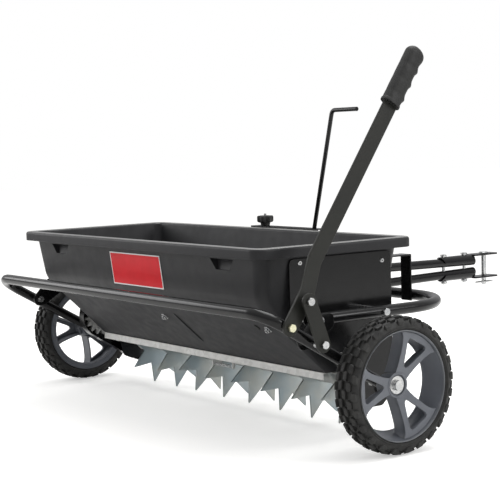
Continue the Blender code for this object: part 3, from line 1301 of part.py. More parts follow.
def make_closure_guide(chassis):
    """The rail on the front panel that the strip slides on, with the finger that anchors its spring."""
    away = Vector((PANEL.y, -PANEL.x))
    foot = Vector((FLOOR_FRONT_Y, FLOOR_Z)) + away * GAP
    head = foot + PANEL * GUIDE_FLANGE
    shelf = CLOSURE_BOTTOM - GAP
    inner = CLOSURE_FRONT_Y + 2 * GAP
    edge = inner - GUIDE_SHELF
    outline = [(head.x, head.y), (foot.x, foot.y), (inner, FLOOR_Z - 2 * GAP), (inner, shelf), (edge, shelf),
               (edge, shelf - GUIDE_THICKNESS), (inner + GUIDE_THICKNESS, shelf - GUIDE_THICKNESS),
               (foot.x + away.x * GUIDE_THICKNESS, foot.y + away.y * GUIDE_THICKNESS),
               (head.x + away.x * GUIDE_THICKNESS, head.y + away.y * GUIDE_THICKNESS)]
    sheet = plate(outline, [], -FLOOR_HALF_LENGTH, FLOOR_HALF_LENGTH, "X")
    rail = add("closure_guide", sheet, chassis, GALVANISED)
    rear, low = SPRING_Y - SPRING_RADIUS, SPRING_Z - SPRING_RADIUS
    under_shelf = shelf - GUIDE_THICKNESS / 2
    under_lip = CLOSURE_TOP - CLOSURE_LIP - GUIDE_THICKNESS
    finger = [(inner, under_shelf), (edge, under_shelf), (edge, under_lip), (rear, under_lip), (rear, low),
              (edge, low), (inner, under_lip)]
    combine(rail, plate(finger, [circle((SPRING_Y, SPRING_Z), SPRING_EYE, 8)],
                        SPRING_FROM_X - TAB_THICKNESS, SPRING_FROM_X, "X"), chassis, "UNION")


def make_spring(chassis):
    """A coil spring along X, hooked through the guide's finger and the strip's tab."""
    coil_from, coil_to = SPRING_FROM_X + SPRING_LEAD, SPRING_TO_X - SPRING_LEAD
    straight = (SPRING_TAIL, -SPRING_LEAD / 2)
    path = [(SPRING_FROM_X - out, SPRING_Y, SPRING_Z) for out in straight]
    total = SPRING_TURNS * SPRING_STEPS
    for k in range(total + 1):
        a = 2 * math.pi * k / SPRING_STEPS
        x = coil_from + (coil_to - coil_from) * k / total
        path.append((x, SPRING_Y + SPRING_RADIUS * math.cos(a), SPRING_Z + SPRING_RADIUS * math.sin(a)))
    path += [(SPRING_TO_X + out, SPRING_Y, SPRING_Z) for out in reversed(straight)]
    add("closure_spring", sweep(path, SPRING_WIRE, 4), chassis, BRIGHT_ZINC)


# Flow control

def make_flow_rod(flow):
    """One bent rod: handle, arm, pivot run under the hopper, crank and toe."""
    corners = [(FLOW_TOP_X + FLOW_HANDLE, FLOW_ROD_Y, FLOW_TOP_Z), (FLOW_TOP_X, FLOW_ROD_Y, FLOW_TOP_Z),
               (FLOW_PIVOT_X, FLOW_ROD_Y, FLOW_PIVOT_Z), (FLOW_PIVOT_X, FLOW_CRANK_Y, FLOW_PIVOT_Z),
               (FLOW_TOE_X, FLOW_CRANK_Y, FLOW_TOE_Z),
               (FLOW_TOE_X, METERING_Y - FLOW_TOE_SETBACK, FLOW_TOE_Z)]
    add("flow_rod", sweep(bent(corners, FLOW_BEND, 3), FLOW_ROD_RADIUS, 8), flow, BLACK_PAINT)


def make_flow_bracket(chassis):
    """A strap down from the hopper's front wall with the sleeve that the rod turns in."""
    top = HOPPER_TOP - FLOW_BRACKET_DROP
    y = front_wall_y(top) + GAP
    half = FLOW_BRACKET_WIDTH / 2
    clear = FLOW_ROD_RADIUS + SLEEVE_CLEARANCE
    hole = bore((FLOW_PIVOT_X, FLOW_PIVOT_Z), clear)
    corners = rectangle((FLOW_PIVOT_X - half, FLOW_PIVOT_Z - half), (FLOW_PIVOT_X + half, top))
    outline = rounded(corners, half * FLOW_BRACKET_ROUND_SHARE, 3)
    sheet = plate(outline, [hole], y, y + FLOW_BRACKET_THICKNESS, "Y")
    strap = add("flow_bracket", sheet, chassis, BLACK_PAINT)
    inner, outer = clear / math.cos(math.pi / 12) + GAP, clear + SLEEVE_WALL
    rear, front = FLOW_CRANK_Y + SLEEVE_END, FLOW_ROD_Y - SLEEVE_END
    profile = [(inner, rear), (outer, rear), (outer, front), (inner, front)]
    combine(strap, turned(profile, Vector((FLOW_PIVOT_X, 0, FLOW_PIVOT_Z)), "Y", 12), chassis, "UNION")


def make_gauge(chassis):
    """The slotted rail in front of the rim that guides the arm and carries the stop."""
    back = HOPPER_FRONT_Y + GAP
    front = back + GAUGE_WIDTH
    slot_half = FLOW_ROD_RADIUS + GAUGE_SLOT_CLEARANCE
    slot_from = STOP_X - STOP_TRAVEL - STOP_NECK + slot_half - GAP
    slot_to = GAUGE_ROD_X + GAUGE_SLOT_CLEARANCE
    left, right = slot_from - GAUGE_END_MARGIN, slot_to + GAUGE_END_MARGIN
    top = plate(rectangle((left, back), (right, front)),
                [slot((slot_from, FLOW_ROD_Y), (slot_to, FLOW_ROD_Y), slot_half)], GAUGE_Z, GAUGE_TOP, "Z")
    gauge = add("flow_gauge", top, chassis, BLACK_PAINT)
    corners = rectangle((back, GAUGE_TOP - GAUGE_FLANGE),
                        (back + GAUGE_THICKNESS, GAUGE_Z + GAUGE_THICKNESS / 2))
    combine(gauge, plate(corners, [], left + GAP, right - GAP, "X"), chassis, "UNION")


def make_stop(stop, knob):
    """A collar that slides in the gauge's slot, and the lobed knob that clamps it."""
    stud = KNOB_STUD + GAP
    under, over = GAUGE_Z - GAP, GAUGE_TOP + GAP
    foot = FLOW_ROD_Y - HOPPER_FRONT_Y - GAUGE_THICKNESS - 3 * GAP
    profile = [(stud, under - STOP_FLANGE_THICKNESS), (foot, under - STOP_FLANGE_THICKNESS),
               (foot, under), (STOP_NECK, under), (STOP_NECK, over), (STOP_FLANGE, over),
               (STOP_FLANGE, over + STOP_FLANGE_THICKNESS), (stud, over + STOP_FLANGE_THICKNESS)]
    centre = Vector((STOP_X, FLOW_ROD_Y, 0.0))
    add("stop_block", turned(profile, centre, "Z", 16), stop, BLACK_PAINT)
    base = over + STOP_FLANGE_THICKNESS + GAP
    sections = [(over + GAP, KNOB_STUD, 0.0), (base, KNOB_STUD, 0.0)]
    for up, wide, lobe in KNOB_PROFILE:
        sections.append((base + KNOB_HEIGHT * up, KNOB_RADIUS * wide, KNOB_LOBE * lobe))
    rings = []
    for z, radius, lobe in sections:
        ring = []
        for k in range(4 * KNOB_LOBES):
            a = 2 * math.pi * k / (4 * KNOB_LOBES)
            r = radius + lobe * math.cos(KNOB_LOBES * a)
            ring.append(centre + Vector((r * math.cos(a), r * math.sin(a), z)))
        rings.append(ring)
    add("stop_knob", loft(rings), knob, GRIP_VINYL)


# The whole machine

chassis = Body("chassis")
make_hopper(chassis)
make_label(chassis)
make_end_plates(chassis)
make_bearings(chassis)
make_gear_guard(chassis)
make_main_frame(chassis)
make_front_brackets(chassis)
make_pivot_plates(chassis)
make_drawbar(chassis)
make_drawbar_bracket(chassis)
make_hitch_plates(chassis)
make_closure_guide(chassis)
make_spring(chassis)
make_flow_bracket(chassis)
make_gauge(chassis)

lift_frame = Body("lift_frame", (0.0, PIVOT_Y, PIVOT_Z), chassis)
make_lift_tube(lift_frame)
make_lever(lift_frame)
make_grip(lift_frame)
make_lift_fasteners(lift_frame)
for side_name, side_sign in SIDES:
    wheel = Body("wheel_" + side_name, (side_sign * WHEEL_X, 0.0, WHEEL_RADIUS), lift_frame)
    make_tyre(side_name, side_sign, wheel)
    make_rim(side_name, side_sign, wheel)

spiker_body = Body("spiker", (0.0, SHAFT_Y, SHAFT_Z), chassis)
idler_body = Body("idler", (GEAR_X, IDLER_Y, IDLER_Z), chassis)
agitator_body = Body("agitator", (0.0, AGITATOR_Y, AGITATOR_Z), chassis)
make_spiker(spiker_body)
make_gears(idler_body, agitator_body)

closure_body = Body("closure", (0.0, CLOSURE_REAR_Y, CLOSURE_TOP), chassis)
make_closure(closure_body)
make_flow_rod(Body("flow_arm", (FLOW_PIVOT_X, FLOW_ROD_Y, FLOW_PIVOT_Z), chassis))
stop_body = Body("flow_stop", (STOP_X, FLOW_ROD_Y, GAUGE_Z), chassis)
make_stop(stop_body, Body("knob", (STOP_X, FLOW_ROD_Y, GAUGE_Z), stop_body))

pin_body = Body("pin", (0.0, PIN_Y, PIN_BOTTOM_Z), chassis)
make_pin(pin_body)
make_hairpin(Body("clip", (0.0, PIN_Y, HAIRPIN_Z), pin_body))
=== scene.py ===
"""Looks of a tow-behind spiker seeder: its finishes, fine surfaces and small fittings.

Metres, +Z up, +Y forward along the tow direction, +X the machine's right side.
"""
import json
from math import atan, copysign, cos, exp, hypot, pi, radians, sin, sqrt, tan

import bmesh
import bpy
from mathutils import Matrix, Vector


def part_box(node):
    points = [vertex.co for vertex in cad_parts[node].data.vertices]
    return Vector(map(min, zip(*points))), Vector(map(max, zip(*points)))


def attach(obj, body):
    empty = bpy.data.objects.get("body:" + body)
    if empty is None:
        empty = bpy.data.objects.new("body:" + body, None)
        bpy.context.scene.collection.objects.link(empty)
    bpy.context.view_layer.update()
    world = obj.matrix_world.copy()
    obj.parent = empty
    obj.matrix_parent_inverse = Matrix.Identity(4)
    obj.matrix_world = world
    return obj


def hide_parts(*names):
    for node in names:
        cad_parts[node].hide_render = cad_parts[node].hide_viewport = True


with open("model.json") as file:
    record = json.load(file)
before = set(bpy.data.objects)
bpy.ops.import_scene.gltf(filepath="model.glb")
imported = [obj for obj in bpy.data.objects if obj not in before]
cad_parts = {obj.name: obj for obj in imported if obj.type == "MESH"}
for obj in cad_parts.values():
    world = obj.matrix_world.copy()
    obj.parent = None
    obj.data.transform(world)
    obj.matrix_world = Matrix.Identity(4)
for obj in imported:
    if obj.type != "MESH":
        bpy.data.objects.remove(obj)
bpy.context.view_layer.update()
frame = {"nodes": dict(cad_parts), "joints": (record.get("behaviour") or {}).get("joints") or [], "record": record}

# The gap that keeps pieces from touching
GAP = 0.0003

# Tubes, bars and the hitch plates
TUBE_RADIUS = 0.011
TUBE_WALL = 0.0018
TUBE_SIDES = 28
LOOP_BEND = 0.15
LIFT_BENDS = [0.045, 0.078]
DRAWBAR_RADIUS = 0.0105
DRAWBAR_NOSE = 0.013
DRAWBAR_BEND = 0.02
DRAWBAR_SETTLE = 0.04
SADDLE_WALL = 0.003
SADDLE_SIDE = 0.0015
SADDLE_LENGTH = 0.11
SADDLE_SLANT = 0.009
TONGUE_THICKNESS = 0.004
TONGUE_OVERLAP = 0.004
TONGUE_ROUND = 0.006
PIN_HOLE = 0.0068
FLOW_ROD_RADIUS = 0.0045
FLOW_BEND = 0.012
FLOW_LEAN = radians(15.6)
FLOW_CRANK = 0.06

# Hopper
HOPPER_WALL = 0.004
LIP_HEIGHT = 0.02
LIP_OVERHANG = 0.0205
LIP_WALL = 0.0032
LIP_ROUND = 0.0055
LIP_EDGE = 0.0008
# How far up a face of the rim's top must point to get the painted highlight
PAINTED_HIGHLIGHT_RISE = 0.8
WALL_DRAFT = 0.13
BEND_Z = 0.275
BEND_ROUND = 0.016
CORNER_RADIUS = 0.026
CORNER_LOSS = 0.004
FLOOR_Z = 0.133
FLOOR_REAR_Y = -0.032
FLOOR_FRONT_Y = -0.004
FLOOR_HALF_LENGTH = 0.41799
FLOOR_CORNER = 0.004
FLOOR_WALL_SLANT = 1.45
METERING_LENGTH = 0.024
METERING_WIDTH = 0.01
METERING_ROUND = 0.004
AGITATOR_HOLE = 0.0062

# Finger pockets under the rear lip
POCKET_FROM_END = 0.103
POCKET_LENGTH = 0.078
POCKET_DROP = 0.0252
POCKET_HEIGHT = 0.021
POCKET_DEPTH = 0.014
POCKET_FOOT_DEPTH = 0.0045
POCKET_TAPER = 0.016

# Wheels
TREAD_LUGS = 24
TREAD_HEIGHT = 0.0056
RIM_INSET = 0.0035
RIM_SETBACK = 0.006
BARREL_DEPTH = 0.05
HUB_SETBACK = 0.0135
HUB_RECESS = 0.008
HUB_RING = 0.0045
SPOKE_DISH = 0.0158
SPOKE_ROOT = 0.0215
SPOKE_REACH = 0.0978
SPOKE_PLATE = 0.006
SPOKE_DEPTH = 0.03
SPOKE_WALL = 0.0036

# Fastener sizes: shank radius, head corner radius, head height
M8 = (0.004, 0.0078, 0.0055)
M6 = (0.003, 0.0062, 0.0042)
AXLE_HEX = (0.0063, 0.011, 0.007)

# Their spacer tubes and washer by radius, and the ends of their threads and hexagons
SPACER_TUBE = 0.0075
HUB_TUBE = 0.0105
AXLE_WASHER = 0.0165
WASHER_HEIGHT = 0.0018
THREAD_END = 0.0015
CHAMFER_HEIGHT = 0.12
CHAMFER_FACE = 0.88


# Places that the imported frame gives

def joint_at(name):
    for joint in frame["joints"]:
        if joint["name"] == name:
            return Vector(joint["pos_m"])
    raise KeyError(name)


def box_middle(node):
    low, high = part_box(node)
    return (low + high) / 2


def faces_of(node):
    """A node's smallest and largest distance from the machine's middle plane."""
    low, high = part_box(node)
    return sorted((abs(low.x), abs(high.x)))


AXLE = joint_at("wheel_right_spin")
SHAFT = joint_at("spiker_spin")
HOPPER_LOW, HOPPER_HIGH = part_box("hopper")
HOPPER_TOP = HOPPER_HIGH.z
LOOP_LOW, LOOP_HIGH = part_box("main_frame_tube")
LOOP_X = LOOP_HIGH.x - TUBE_RADIUS
LOOP_FRONT_Y = LOOP_HIGH.y - TUBE_RADIUS
LOOP_Z = (LOOP_LOW.z + LOOP_HIGH.z) / 2
LIFT_LOW, LIFT_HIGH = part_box("lift_tube")
LEG_X = LIFT_HIGH.x - TUBE_RADIUS
CROSS_Y = LIFT_LOW.y + TUBE_RADIUS
CROSS_Z = LIFT_HIGH.z - TUBE_RADIUS
FLOOR_MIDDLE_Y = AXLE.y + (FLOOR_REAR_Y + FLOOR_FRONT_Y) / 2
SIDES = (("right", 1), ("left", -1))
LEVELS = (("upper", 1), ("lower", -1))
STARS = ["spiker_star_%d" % number for number in range(1, 9)]
BODY_OF = {node: body for body, nodes in frame["record"]["behaviour"]["bodies"].items() for node in nodes}
SLOT_OF = {entry["node"]: entry["material_slot"] for entry in frame["record"]["subparts"]}


def from_axle(x, y, z):
    """A point whose Y is measured from the wheel axle."""
    return Vector((x, y + AXLE.y, z))


# Finishes

FINISHES = {}
FLOW_MARKS = (1, 1, 0.3)
ROLLING_LINES = (0.2, 6, 6)
STAMPING_LINES = (1, 0.15, 1)


def feed(tree, node, inputs):
    """Sets a shader node's inputs, and links those whose value is another node's output."""
    for name, value in inputs.items():
        if isinstance(value, bpy.types.NodeSocket):
            tree.links.new(value, node.inputs[name])
        else:
            node.inputs[name].default_value = value


def add_node(tree, kind, inputs):
    node = tree.nodes.new("ShaderNode" + kind)
    feed(tree, node, inputs)
    return node


class Finish:
    """A procedural material: a Principled shader, with short calls for the nodes that vary it."""

    def __init__(self, name, metallic=0.0, specular=0.5, coat=0.0, coat_roughness=0.08):
        material = bpy.data.materials.new(name)
        material.use_nodes = True
        self.tree = material.node_tree
        self.shader = self.tree.nodes["Principled BSDF"]
        feed(self.tree, self.shader, {"Metallic": metallic, "Specular IOR Level": specular,
                                      "Coat Weight": coat, "Coat Roughness": coat_roughness})
        self.place = self.tree.nodes.new("ShaderNodeTexCoord").outputs["Object"]
        self.normal = None
        FINISHES[name] = material

    def noise(self, scale, detail=3.0, stretch=(1, 1, 1)):
        mapping = add_node(self.tree, "Mapping", {"Vector": self.place, "Scale": stretch})
        inputs = {"Vector": mapping.outputs["Vector"], "Scale": scale, "Detail": detail}
        return add_node(self.tree, "TexNoise", inputs).outputs["Fac"]

    def cells(self, scale):
        """A different grey for each crystal-like cell."""
        return add_node(self.tree, "TexVoronoi", {"Vector": self.place, "Scale": scale}).outputs["Color"]

    def colour(self, value, dark, light, start=0.3, end=0.7):
        """The base colour, from dark to light as the value goes from start to end."""
        ramp = add_node(self.tree, "ValToRGB", {"Fac": value})
        ends = ramp.color_ramp.elements
        ends[1].position, ends[1].color = end, (*light, 1.0)
        ends[0].position, ends[0].color = start, (*dark, 1.0)
        feed(self.tree, self.shader, {"Base Color": ramp.outputs["Color"]})

    def roughness(self, scale, detail, low, high):
        """A roughness that wanders between two values."""
        spread = add_node(self.tree, "MapRange", {"Value": self.noise(scale, detail), "From Min": 0.3,
                                                  "From Max": 0.7, "To Min": low, "To Max": high})
        feed(self.tree, self.shader, {"Roughness": spread.outputs["Result"]})

    def bump(self, scale, detail, strength, distance, stretch=(1, 1, 1)):
        """A fine relief, on top of the one before it."""
        inputs = {"Height": self.noise(scale, detail, stretch), "Strength": strength, "Distance": distance}
        if self.normal:
            inputs["Normal"] = self.normal
        self.normal = add_node(self.tree, "Bump", inputs).outputs["Normal"]
        feed(self.tree, self.shader, {"Normal": self.normal})


# Painted highlight: the top of the hopper's rim gets a lighter colour, and a glossier finish, so that it shows as
# a bright line
look = Finish("hopper_rim_painted_highlight", specular=0.6, coat=0.25, coat_roughness=0.3)
look.colour(look.noise(5, 3, FLOW_MARKS), (0.125, 0.125, 0.122), (0.16, 0.16, 0.155), 0.35, 0.65)
look.roughness(45, 3, 0.36, 0.46)
look.bump(22, 2, 0.1, 0.0006)

# Moulded charcoal plastic with a fine grain and faint flow marks
look = Finish("hopper_plastic", specular=0.24)
look.colour(look.noise(5, 3, FLOW_MARKS), (0.0205, 0.0205, 0.0222), (0.0255, 0.0255, 0.027), 0.35, 0.65)
look.roughness(45, 3, 0.4, 0.5)
look.bump(1300, 2, 0.2, 0.0001)
look.bump(22, 2, 0.1, 0.0006)

# Powder coat: deep black with a slight orange peel
look = Finish("black_paint", specular=0.3, coat=0.06, coat_roughness=0.1)
look.colour(look.noise(9), (0.0038, 0.0038, 0.0042), (0.006, 0.006, 0.0062), 0.35, 0.65)
look.roughness(70, 3, 0.16, 0.24)
look.bump(260, 2, 0.03, 0.00004)

# The lever's satin paint
look = Finish("lever_paint", specular=0.28)
look.colour(look.noise(14, 4), (0.0165, 0.0169, 0.0142), (0.021, 0.0214, 0.018))
look.roughness(90, 3, 0.38, 0.5)
look.bump(520, 2, 0.15, 0.00008)

# Zinc sheet with soft crystal patches and rolling lines
look = Finish("galvanised", metallic=0.55)
look.colour(look.cells(95), (0.58, 0.58, 0.56), (0.7, 0.7, 0.68), 0.1, 0.9)
look.roughness(40, 4, 0.38, 0.55)
look.bump(60, 2, 0.1, 0.0002, ROLLING_LINES)

# Bluish zinc plate on stamped steel, with warmer stains
look = Finish("star_zinc", metallic=0.85)
look.colour(look.noise(16, 4), (0.33, 0.385, 0.41), (0.44, 0.452, 0.425), 0.36, 0.68)
look.roughness(34, 5, 0.3, 0.46)
look.bump(300, 3, 0.2, 0.0001, STAMPING_LINES)

# Bright zinc plate on the small fittings
look = Finish("bright_zinc", metallic=1.0)
look.colour(look.noise(90), (0.44, 0.45, 0.46), (0.6, 0.6, 0.59))
look.roughness(160, 3, 0.18, 0.32)
look.bump(900, 2, 0.15, 0.0001)

# Matt black rubber with a trace of dust
look = Finish("tyre_rubber", specular=0.42)
look.colour(look.noise(38, 5), (0.011, 0.011, 0.0106), (0.029, 0.0286, 0.0265), 0.32, 0.75)
look.roughness(120, 3, 0.52, 0.72)
look.bump(700, 3, 0.4, 0.00025)

# Moulded slate-grey plastic
look = Finish("rim_plastic", specular=0.45)
look.colour(look.noise(18), (0.122, 0.131, 0.149), (0.146, 0.156, 0.176), 0.35, 0.65)
look.roughness(60, 3, 0.36, 0.46)
look.bump(1100, 2, 0.3, 0.00012)

# Painted highlight: the lip of the wheel's rim gets a lighter colour for the bright line along its edge, and a
# glossier finish
look = Finish("rim_lip_painted_highlight", specular=0.6)
look.colour(look.noise(30), (0.15, 0.158, 0.17), (0.2, 0.21, 0.225), 0.35, 0.65)
look.roughness(60, 3, 0.28, 0.4)

# The grip's soft vinyl
look = Finish("grip_vinyl", specular=0.35)
look.colour(look.noise(25, 4), (0.015, 0.0152, 0.0146), (0.022, 0.0222, 0.0212))
look.roughness(80, 3, 0.48, 0.62)
look.bump(900, 2, 0.45, 0.0002)

# The label's red face
look = Finish("label_red", specular=0.15)
look.colour(look.noise(30), (0.7, 0.012, 0.02), (0.78, 0.015, 0.025))
look.roughness(50, 3, 0.3, 0.38)

# The label's white border
look = Finish("label_white", specular=0.5, coat=0.3)
look.colour(look.noise(30), (0.74, 0.74, 0.73), (0.82, 0.82, 0.81))
look.roughness(50, 3, 0.3, 0.38)

# The bushes' nylon
look = Finish("nylon", specular=0.4)
look.colour(look.noise(20), (0.66, 0.65, 0.6), (0.76, 0.75, 0.7))
look.roughness(70, 3, 0.42, 0.52)
look.bump(900, 2, 0.2, 0.0001)

# The pale yellow passivated bolt at the lever's foot
look = Finish("yellow_zinc", metallic=0.9)
look.colour(look.noise(90), (0.74, 0.72, 0.5), (0.86, 0.84, 0.62))
look.roughness(160, 3, 0.28, 0.4)


# Outlines and solids

def angles(count):
    """Evenly spaced directions round a circle."""
    return [2 * pi * k / count for k in range(count)]


def circle(centre, radius, sides=32):
    return [(centre[0] + radius * cos(a), centre[1] + radius * sin(a)) for a in angles(sides)]


def rectangle(low, high):
    return [(low[0], low[1]), (high[0], low[1]), (high[0], high[1]), (low[0], high[1])]


def rounded(corners, radius, steps=5):
    """The same outline with every corner turned into an arc, or into less where a side is short."""
    points = []
    count = len(corners)
    for i in range(count):
        here = Vector(corners[i])
        before = Vector(corners[i - 1]) - here
        after = Vector(corners[(i + 1) % count]) - here
        reach = min(radius / tan(before.angle(after) / 2), 0.45 * before.length, 0.45 * after.length)
        first = here + before.normalized() * reach
        last = here + after.normalized() * reach
        for k in range(steps + 1):
            t = k / steps
            points.append(tuple(first * (1 - t) ** 2 + here * 2 * t * (1 - t) + last * t ** 2))
    return points


def spot(u, v, along, axis):
    """A point of a flat outline, placed across the X or the Z axis."""
    return Vector((along, u, v)) if axis == "X" else Vector((u, v, along))


def plate(outline, holes, low, high, axis):
    """A flat plate with holes: the outline filled at both ends and walled between."""
    flat = bmesh.new()
    loops = [outline] + list(holes)
    edges = []
    for loop in loops:
        verts = [flat.verts.new(spot(u, v, low, axis)) for u, v in loop]
        edges += [flat.edges.new((verts[i - 1], verts[i])) for i in range(len(verts))]
    bmesh.ops.triangle_fill(flat, use_beauty=True, use_dissolve=False, edges=edges)
    flat.verts.index_update()
    bm = bmesh.new()
    lift = spot(0, 0, high - low, axis)
    bottom = [bm.verts.new(v.co) for v in flat.verts]
    top = [bm.verts.new(v.co + lift) for v in flat.verts]
    for face in flat.faces:
        index = [v.index for v in face.verts]
        bm.faces.new([bottom[i] for i in index])
        bm.faces.new([top[i] for i in reversed(index)])
    start = 0
    for loop in loops:
        count = len(loop)
        for i in range(count):
            a, b = start + i, start + (i + 1) % count
            bm.faces.new((bottom[a], bottom[b], top[b], top[a]))
        start += count
    flat.free()
    return bm


def loft(rings, closed=False):
    """A solid through rings of equal count: capped at both ends, or joined end to start."""
    bm = bmesh.new()
    layers = [[bm.verts.new(point) for point in ring] for ring in rings]
    pairs = list(zip(layers, layers[1:]))
    if closed:
        pairs.append((layers[-1], layers[0]))
    else:
        bm.faces.new(list(reversed(layers[0])))
        bm.faces.new(layers[-1])
    for lower, upper in pairs:
        count = len(lower)
        for i in range(count):
            j = (i + 1) % count
            bm.faces.new((lower[i], lower[j], upper[j], upper[i]))
    return bm


def turned(profile, centre, side=1, sides=64):
    """A ring turned about a line along X: the profile is a closed list of (radius, distance to the side)."""
    rings = []
    for a in angles(sides):
        rings.append([centre + Vector((side * x, r * cos(a), r * sin(a))) for r, x in profile])
    return loft(rings, closed=True)


def hexagon(radius, a):
    """The distance from a hexagon's middle to its side, its corners being at the radius."""
    return radius * cos(pi / 6) / cos(a % (pi / 3) - pi / 6)


def fastener(base, direction, sections, sides=24):
    """A bar of steps, each (end, radius, is_hex) from the last one's end. Hexagons are chamfered."""
    direction = Vector(direction).normalized()
    across = direction.orthogonal().normalized()
    other = direction.cross(across)
    rings = []
    start = 0.0
    for end, radius, is_hex in sections:
        chamfer = CHAMFER_HEIGHT * radius
        steps = [(start, 1.0), (end, 1.0)]
        if is_hex:
            steps = [(start, CHAMFER_FACE), (start + chamfer, 1.0), (end - chamfer, 1.0), (end, CHAMFER_FACE)]
        for along, limit in steps:
            ring = []
            for a in angles(sides):
                r = min(hexagon(radius, a), radius * limit) if is_hex else radius
                ring.append(Vector(base) + direction * along + (across * cos(a) + other * sin(a)) * r)
            rings.append(ring)
        start = end
    return loft(rings)


def sweep(path, radius, sides=TUBE_SIDES, wall=0.0):
    """A round bar or, with a wall, an open-ended tube along a path. The radius may differ by point."""
    path = [Vector(p) for p in path]
    count = len(path)
    radii = radius if isinstance(radius, list) else [radius] * count
    tangents = [(path[min(i + 1, count - 1)] - path[max(i - 1, 0)]).normalized() for i in range(count)]
    normal = tangents[0].orthogonal().normalized()
    places = []
    for i in range(count):
        if i:
            normal = tangents[i - 1].rotation_difference(tangents[i]) @ normal
        places.append((path[i], normal.copy(), tangents[i].cross(normal), radii[i]))

    def ring(place, skin):
        centre, across, other, r = place
        return [centre + (across * cos(a) + other * sin(a)) * (r - skin) for a in angles(sides)]

    outer = [ring(place, 0.0) for place in places]
    if not wall:
        return loft(outer)
    return loft(outer + [ring(place, wall) for place in reversed(places)], closed=True)


def bent(corners, radius, steps=14):
    """A path through corner points, with each inner corner bent to the radius, or to its own of a list."""
    corners = [Vector(c) for c in corners]
    radii = radius if isinstance(radius, list) else [radius] * (len(corners) - 2)
    path = [corners[0]]
    for before, here, after, radius in zip(corners, corners[1:], corners[2:], radii):
        back = (before - here).normalized()
        ahead = (after - here).normalized()
        angle = back.angle(ahead)
        reach = radius / tan(angle / 2)
        centre = here + (back + ahead).normalized() * radius / sin(angle / 2)
        first = here + back * reach - centre
        normal = first.cross(here + ahead * reach - centre).normalized()
        for k in range(steps + 1):
            path.append(centre + Matrix.Rotation((pi - angle) * k / steps, 3, normal) @ first)
    path.append(corners[-1])
    return path


def joined(*solids):
    """Several solids as separate bodies of one mesh."""
    bm = bmesh.new()
    for solid in solids:
        mesh = bpy.data.meshes.new("part")
        solid.to_mesh(mesh)
        solid.free()
        bm.from_mesh(mesh)
        bpy.data.meshes.remove(mesh)
    return bm


# Pieces

def new_object(name, data):
    """An object in the scene for a mesh, a lamp or a camera."""
    obj = bpy.data.objects.new(name, data)
    bpy.context.scene.collection.objects.link(obj)
    return obj


def add_object(name, bm, finish):
    bmesh.ops.recalc_face_normals(bm, faces=bm.faces[:])
    mesh = bpy.data.meshes.new(name)
    bm.to_mesh(mesh)
    bm.free()
    mesh.materials.append(FINISHES[finish])
    mesh.shade_smooth()
    return new_object(name, mesh)


def piece(name, bm, node, bevel=0.0, replaces=True, slot=None, finish=None, sharp=35):
    """A finished piece that rides with a node and, unless it is an extra fitting, stands for it."""
    slot = slot or SLOT_OF[node]
    obj = add_object(name, bm, finish or slot)
    if bevel:
        edges = obj.modifiers.new("Edges", "BEVEL")
        edges.width = bevel
        edges.segments = 2
        edges.limit_method = "ANGLE"
        edges.angle_limit = radians(30)
        edges.miter_outer = "MITER_ARC"
        obj.modifiers.new("Shading", "WEIGHTED_NORMAL").keep_sharp = True
    else:
        obj.data.set_sharp_from_angle(angle=radians(sharp))
    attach(obj, BODY_OF[node])
    if replaces:
        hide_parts(node)


def solid_of(node):
    """A clean copy of a node's solid, with its flat faces whole again."""
    source = frame["nodes"][node].data
    mesh = bpy.data.meshes.new("solid")
    mesh.from_pydata([v.co[:] for v in source.vertices], [], [p.vertices[:] for p in source.polygons])
    bm = bmesh.new()
    bm.from_mesh(mesh)
    bpy.data.meshes.remove(mesh)
    bmesh.ops.remove_doubles(bm, verts=bm.verts[:], dist=0.00001)
    bmesh.ops.dissolve_limit(bm, angle_limit=radians(0.6), verts=bm.verts[:], edges=bm.edges[:])
    return bm


def cut(obj, bm, operation="DIFFERENCE"):
    """Cuts a helper solid out of an object, or unites the two."""
    helper = add_object("helper", bm, "black_paint")
    modifier = obj.modifiers.new("Cut", "BOOLEAN")
    modifier.operation = operation
    modifier.object = helper
    modifier.solver = "EXACT"
    depsgraph = bpy.context.evaluated_depsgraph_get()
    mesh = bpy.data.meshes.new_from_object(obj.evaluated_get(depsgraph))
    obj.modifiers.remove(modifier)
    old = obj.data
    obj.data = mesh
    bpy.data.meshes.remove(old)
    bpy.data.objects.remove(helper)


# Hopper

def wall_drop(z):
    return (HOPPER_TOP - LIP_HEIGHT - z) * WALL_DRAFT


def rear_wall_y(z):
    return HOPPER_LOW.y + LIP_OVERHANG + wall_drop(z)


def wall_ring(z, inset, corner=CORNER_RADIUS):
    """A level ring: its height, half length, rear and front, and corner radius."""
    return (z, HOPPER_HIGH.x - inset, HOPPER_LOW.y + inset, HOPPER_HIGH.y - inset, corner)


def floor_ring(z, wall):
    sideways = wall * FLOOR_WALL_SLANT
    return (z, FLOOR_HALF_LENGTH - wall, AXLE.y + FLOOR_REAR_Y + sideways, AXLE.y + FLOOR_FRONT_Y - sideways,
            FLOOR_CORNER - wall / 2)


def between(a, b, t):
    return tuple(p + (q - p) * t for p, q in zip(a, b))


def softened_bend(above, bend, below, steps=6):
    """Rings that round off the fold between the upper walls and the sloping panels."""
    start = between(bend, above, BEND_ROUND / (above[0] - bend[0]))
    end = between(bend, below, BEND_ROUND / (bend[0] - below[0]))
    rings = []
    for k in range(steps + 1):
        t = k / steps
        rings.append(between(between(start, bend, t), between(bend, end, t), t))
    return rings


def ring_points(ring, steps=10):
    z, half, rear, front, radius = ring
    points = []
    for x, y, start in ((half - radius, rear + radius, -90), (half - radius, front - radius, 0),
                        (radius - half, front - radius, 90), (radius - half, rear + radius, 180)):
        for k in range(steps + 1):
            a = radians(start + 90 * k / steps)
            points.append(Vector((x + radius * cos(a), y + radius * sin(a), z)))
    return points


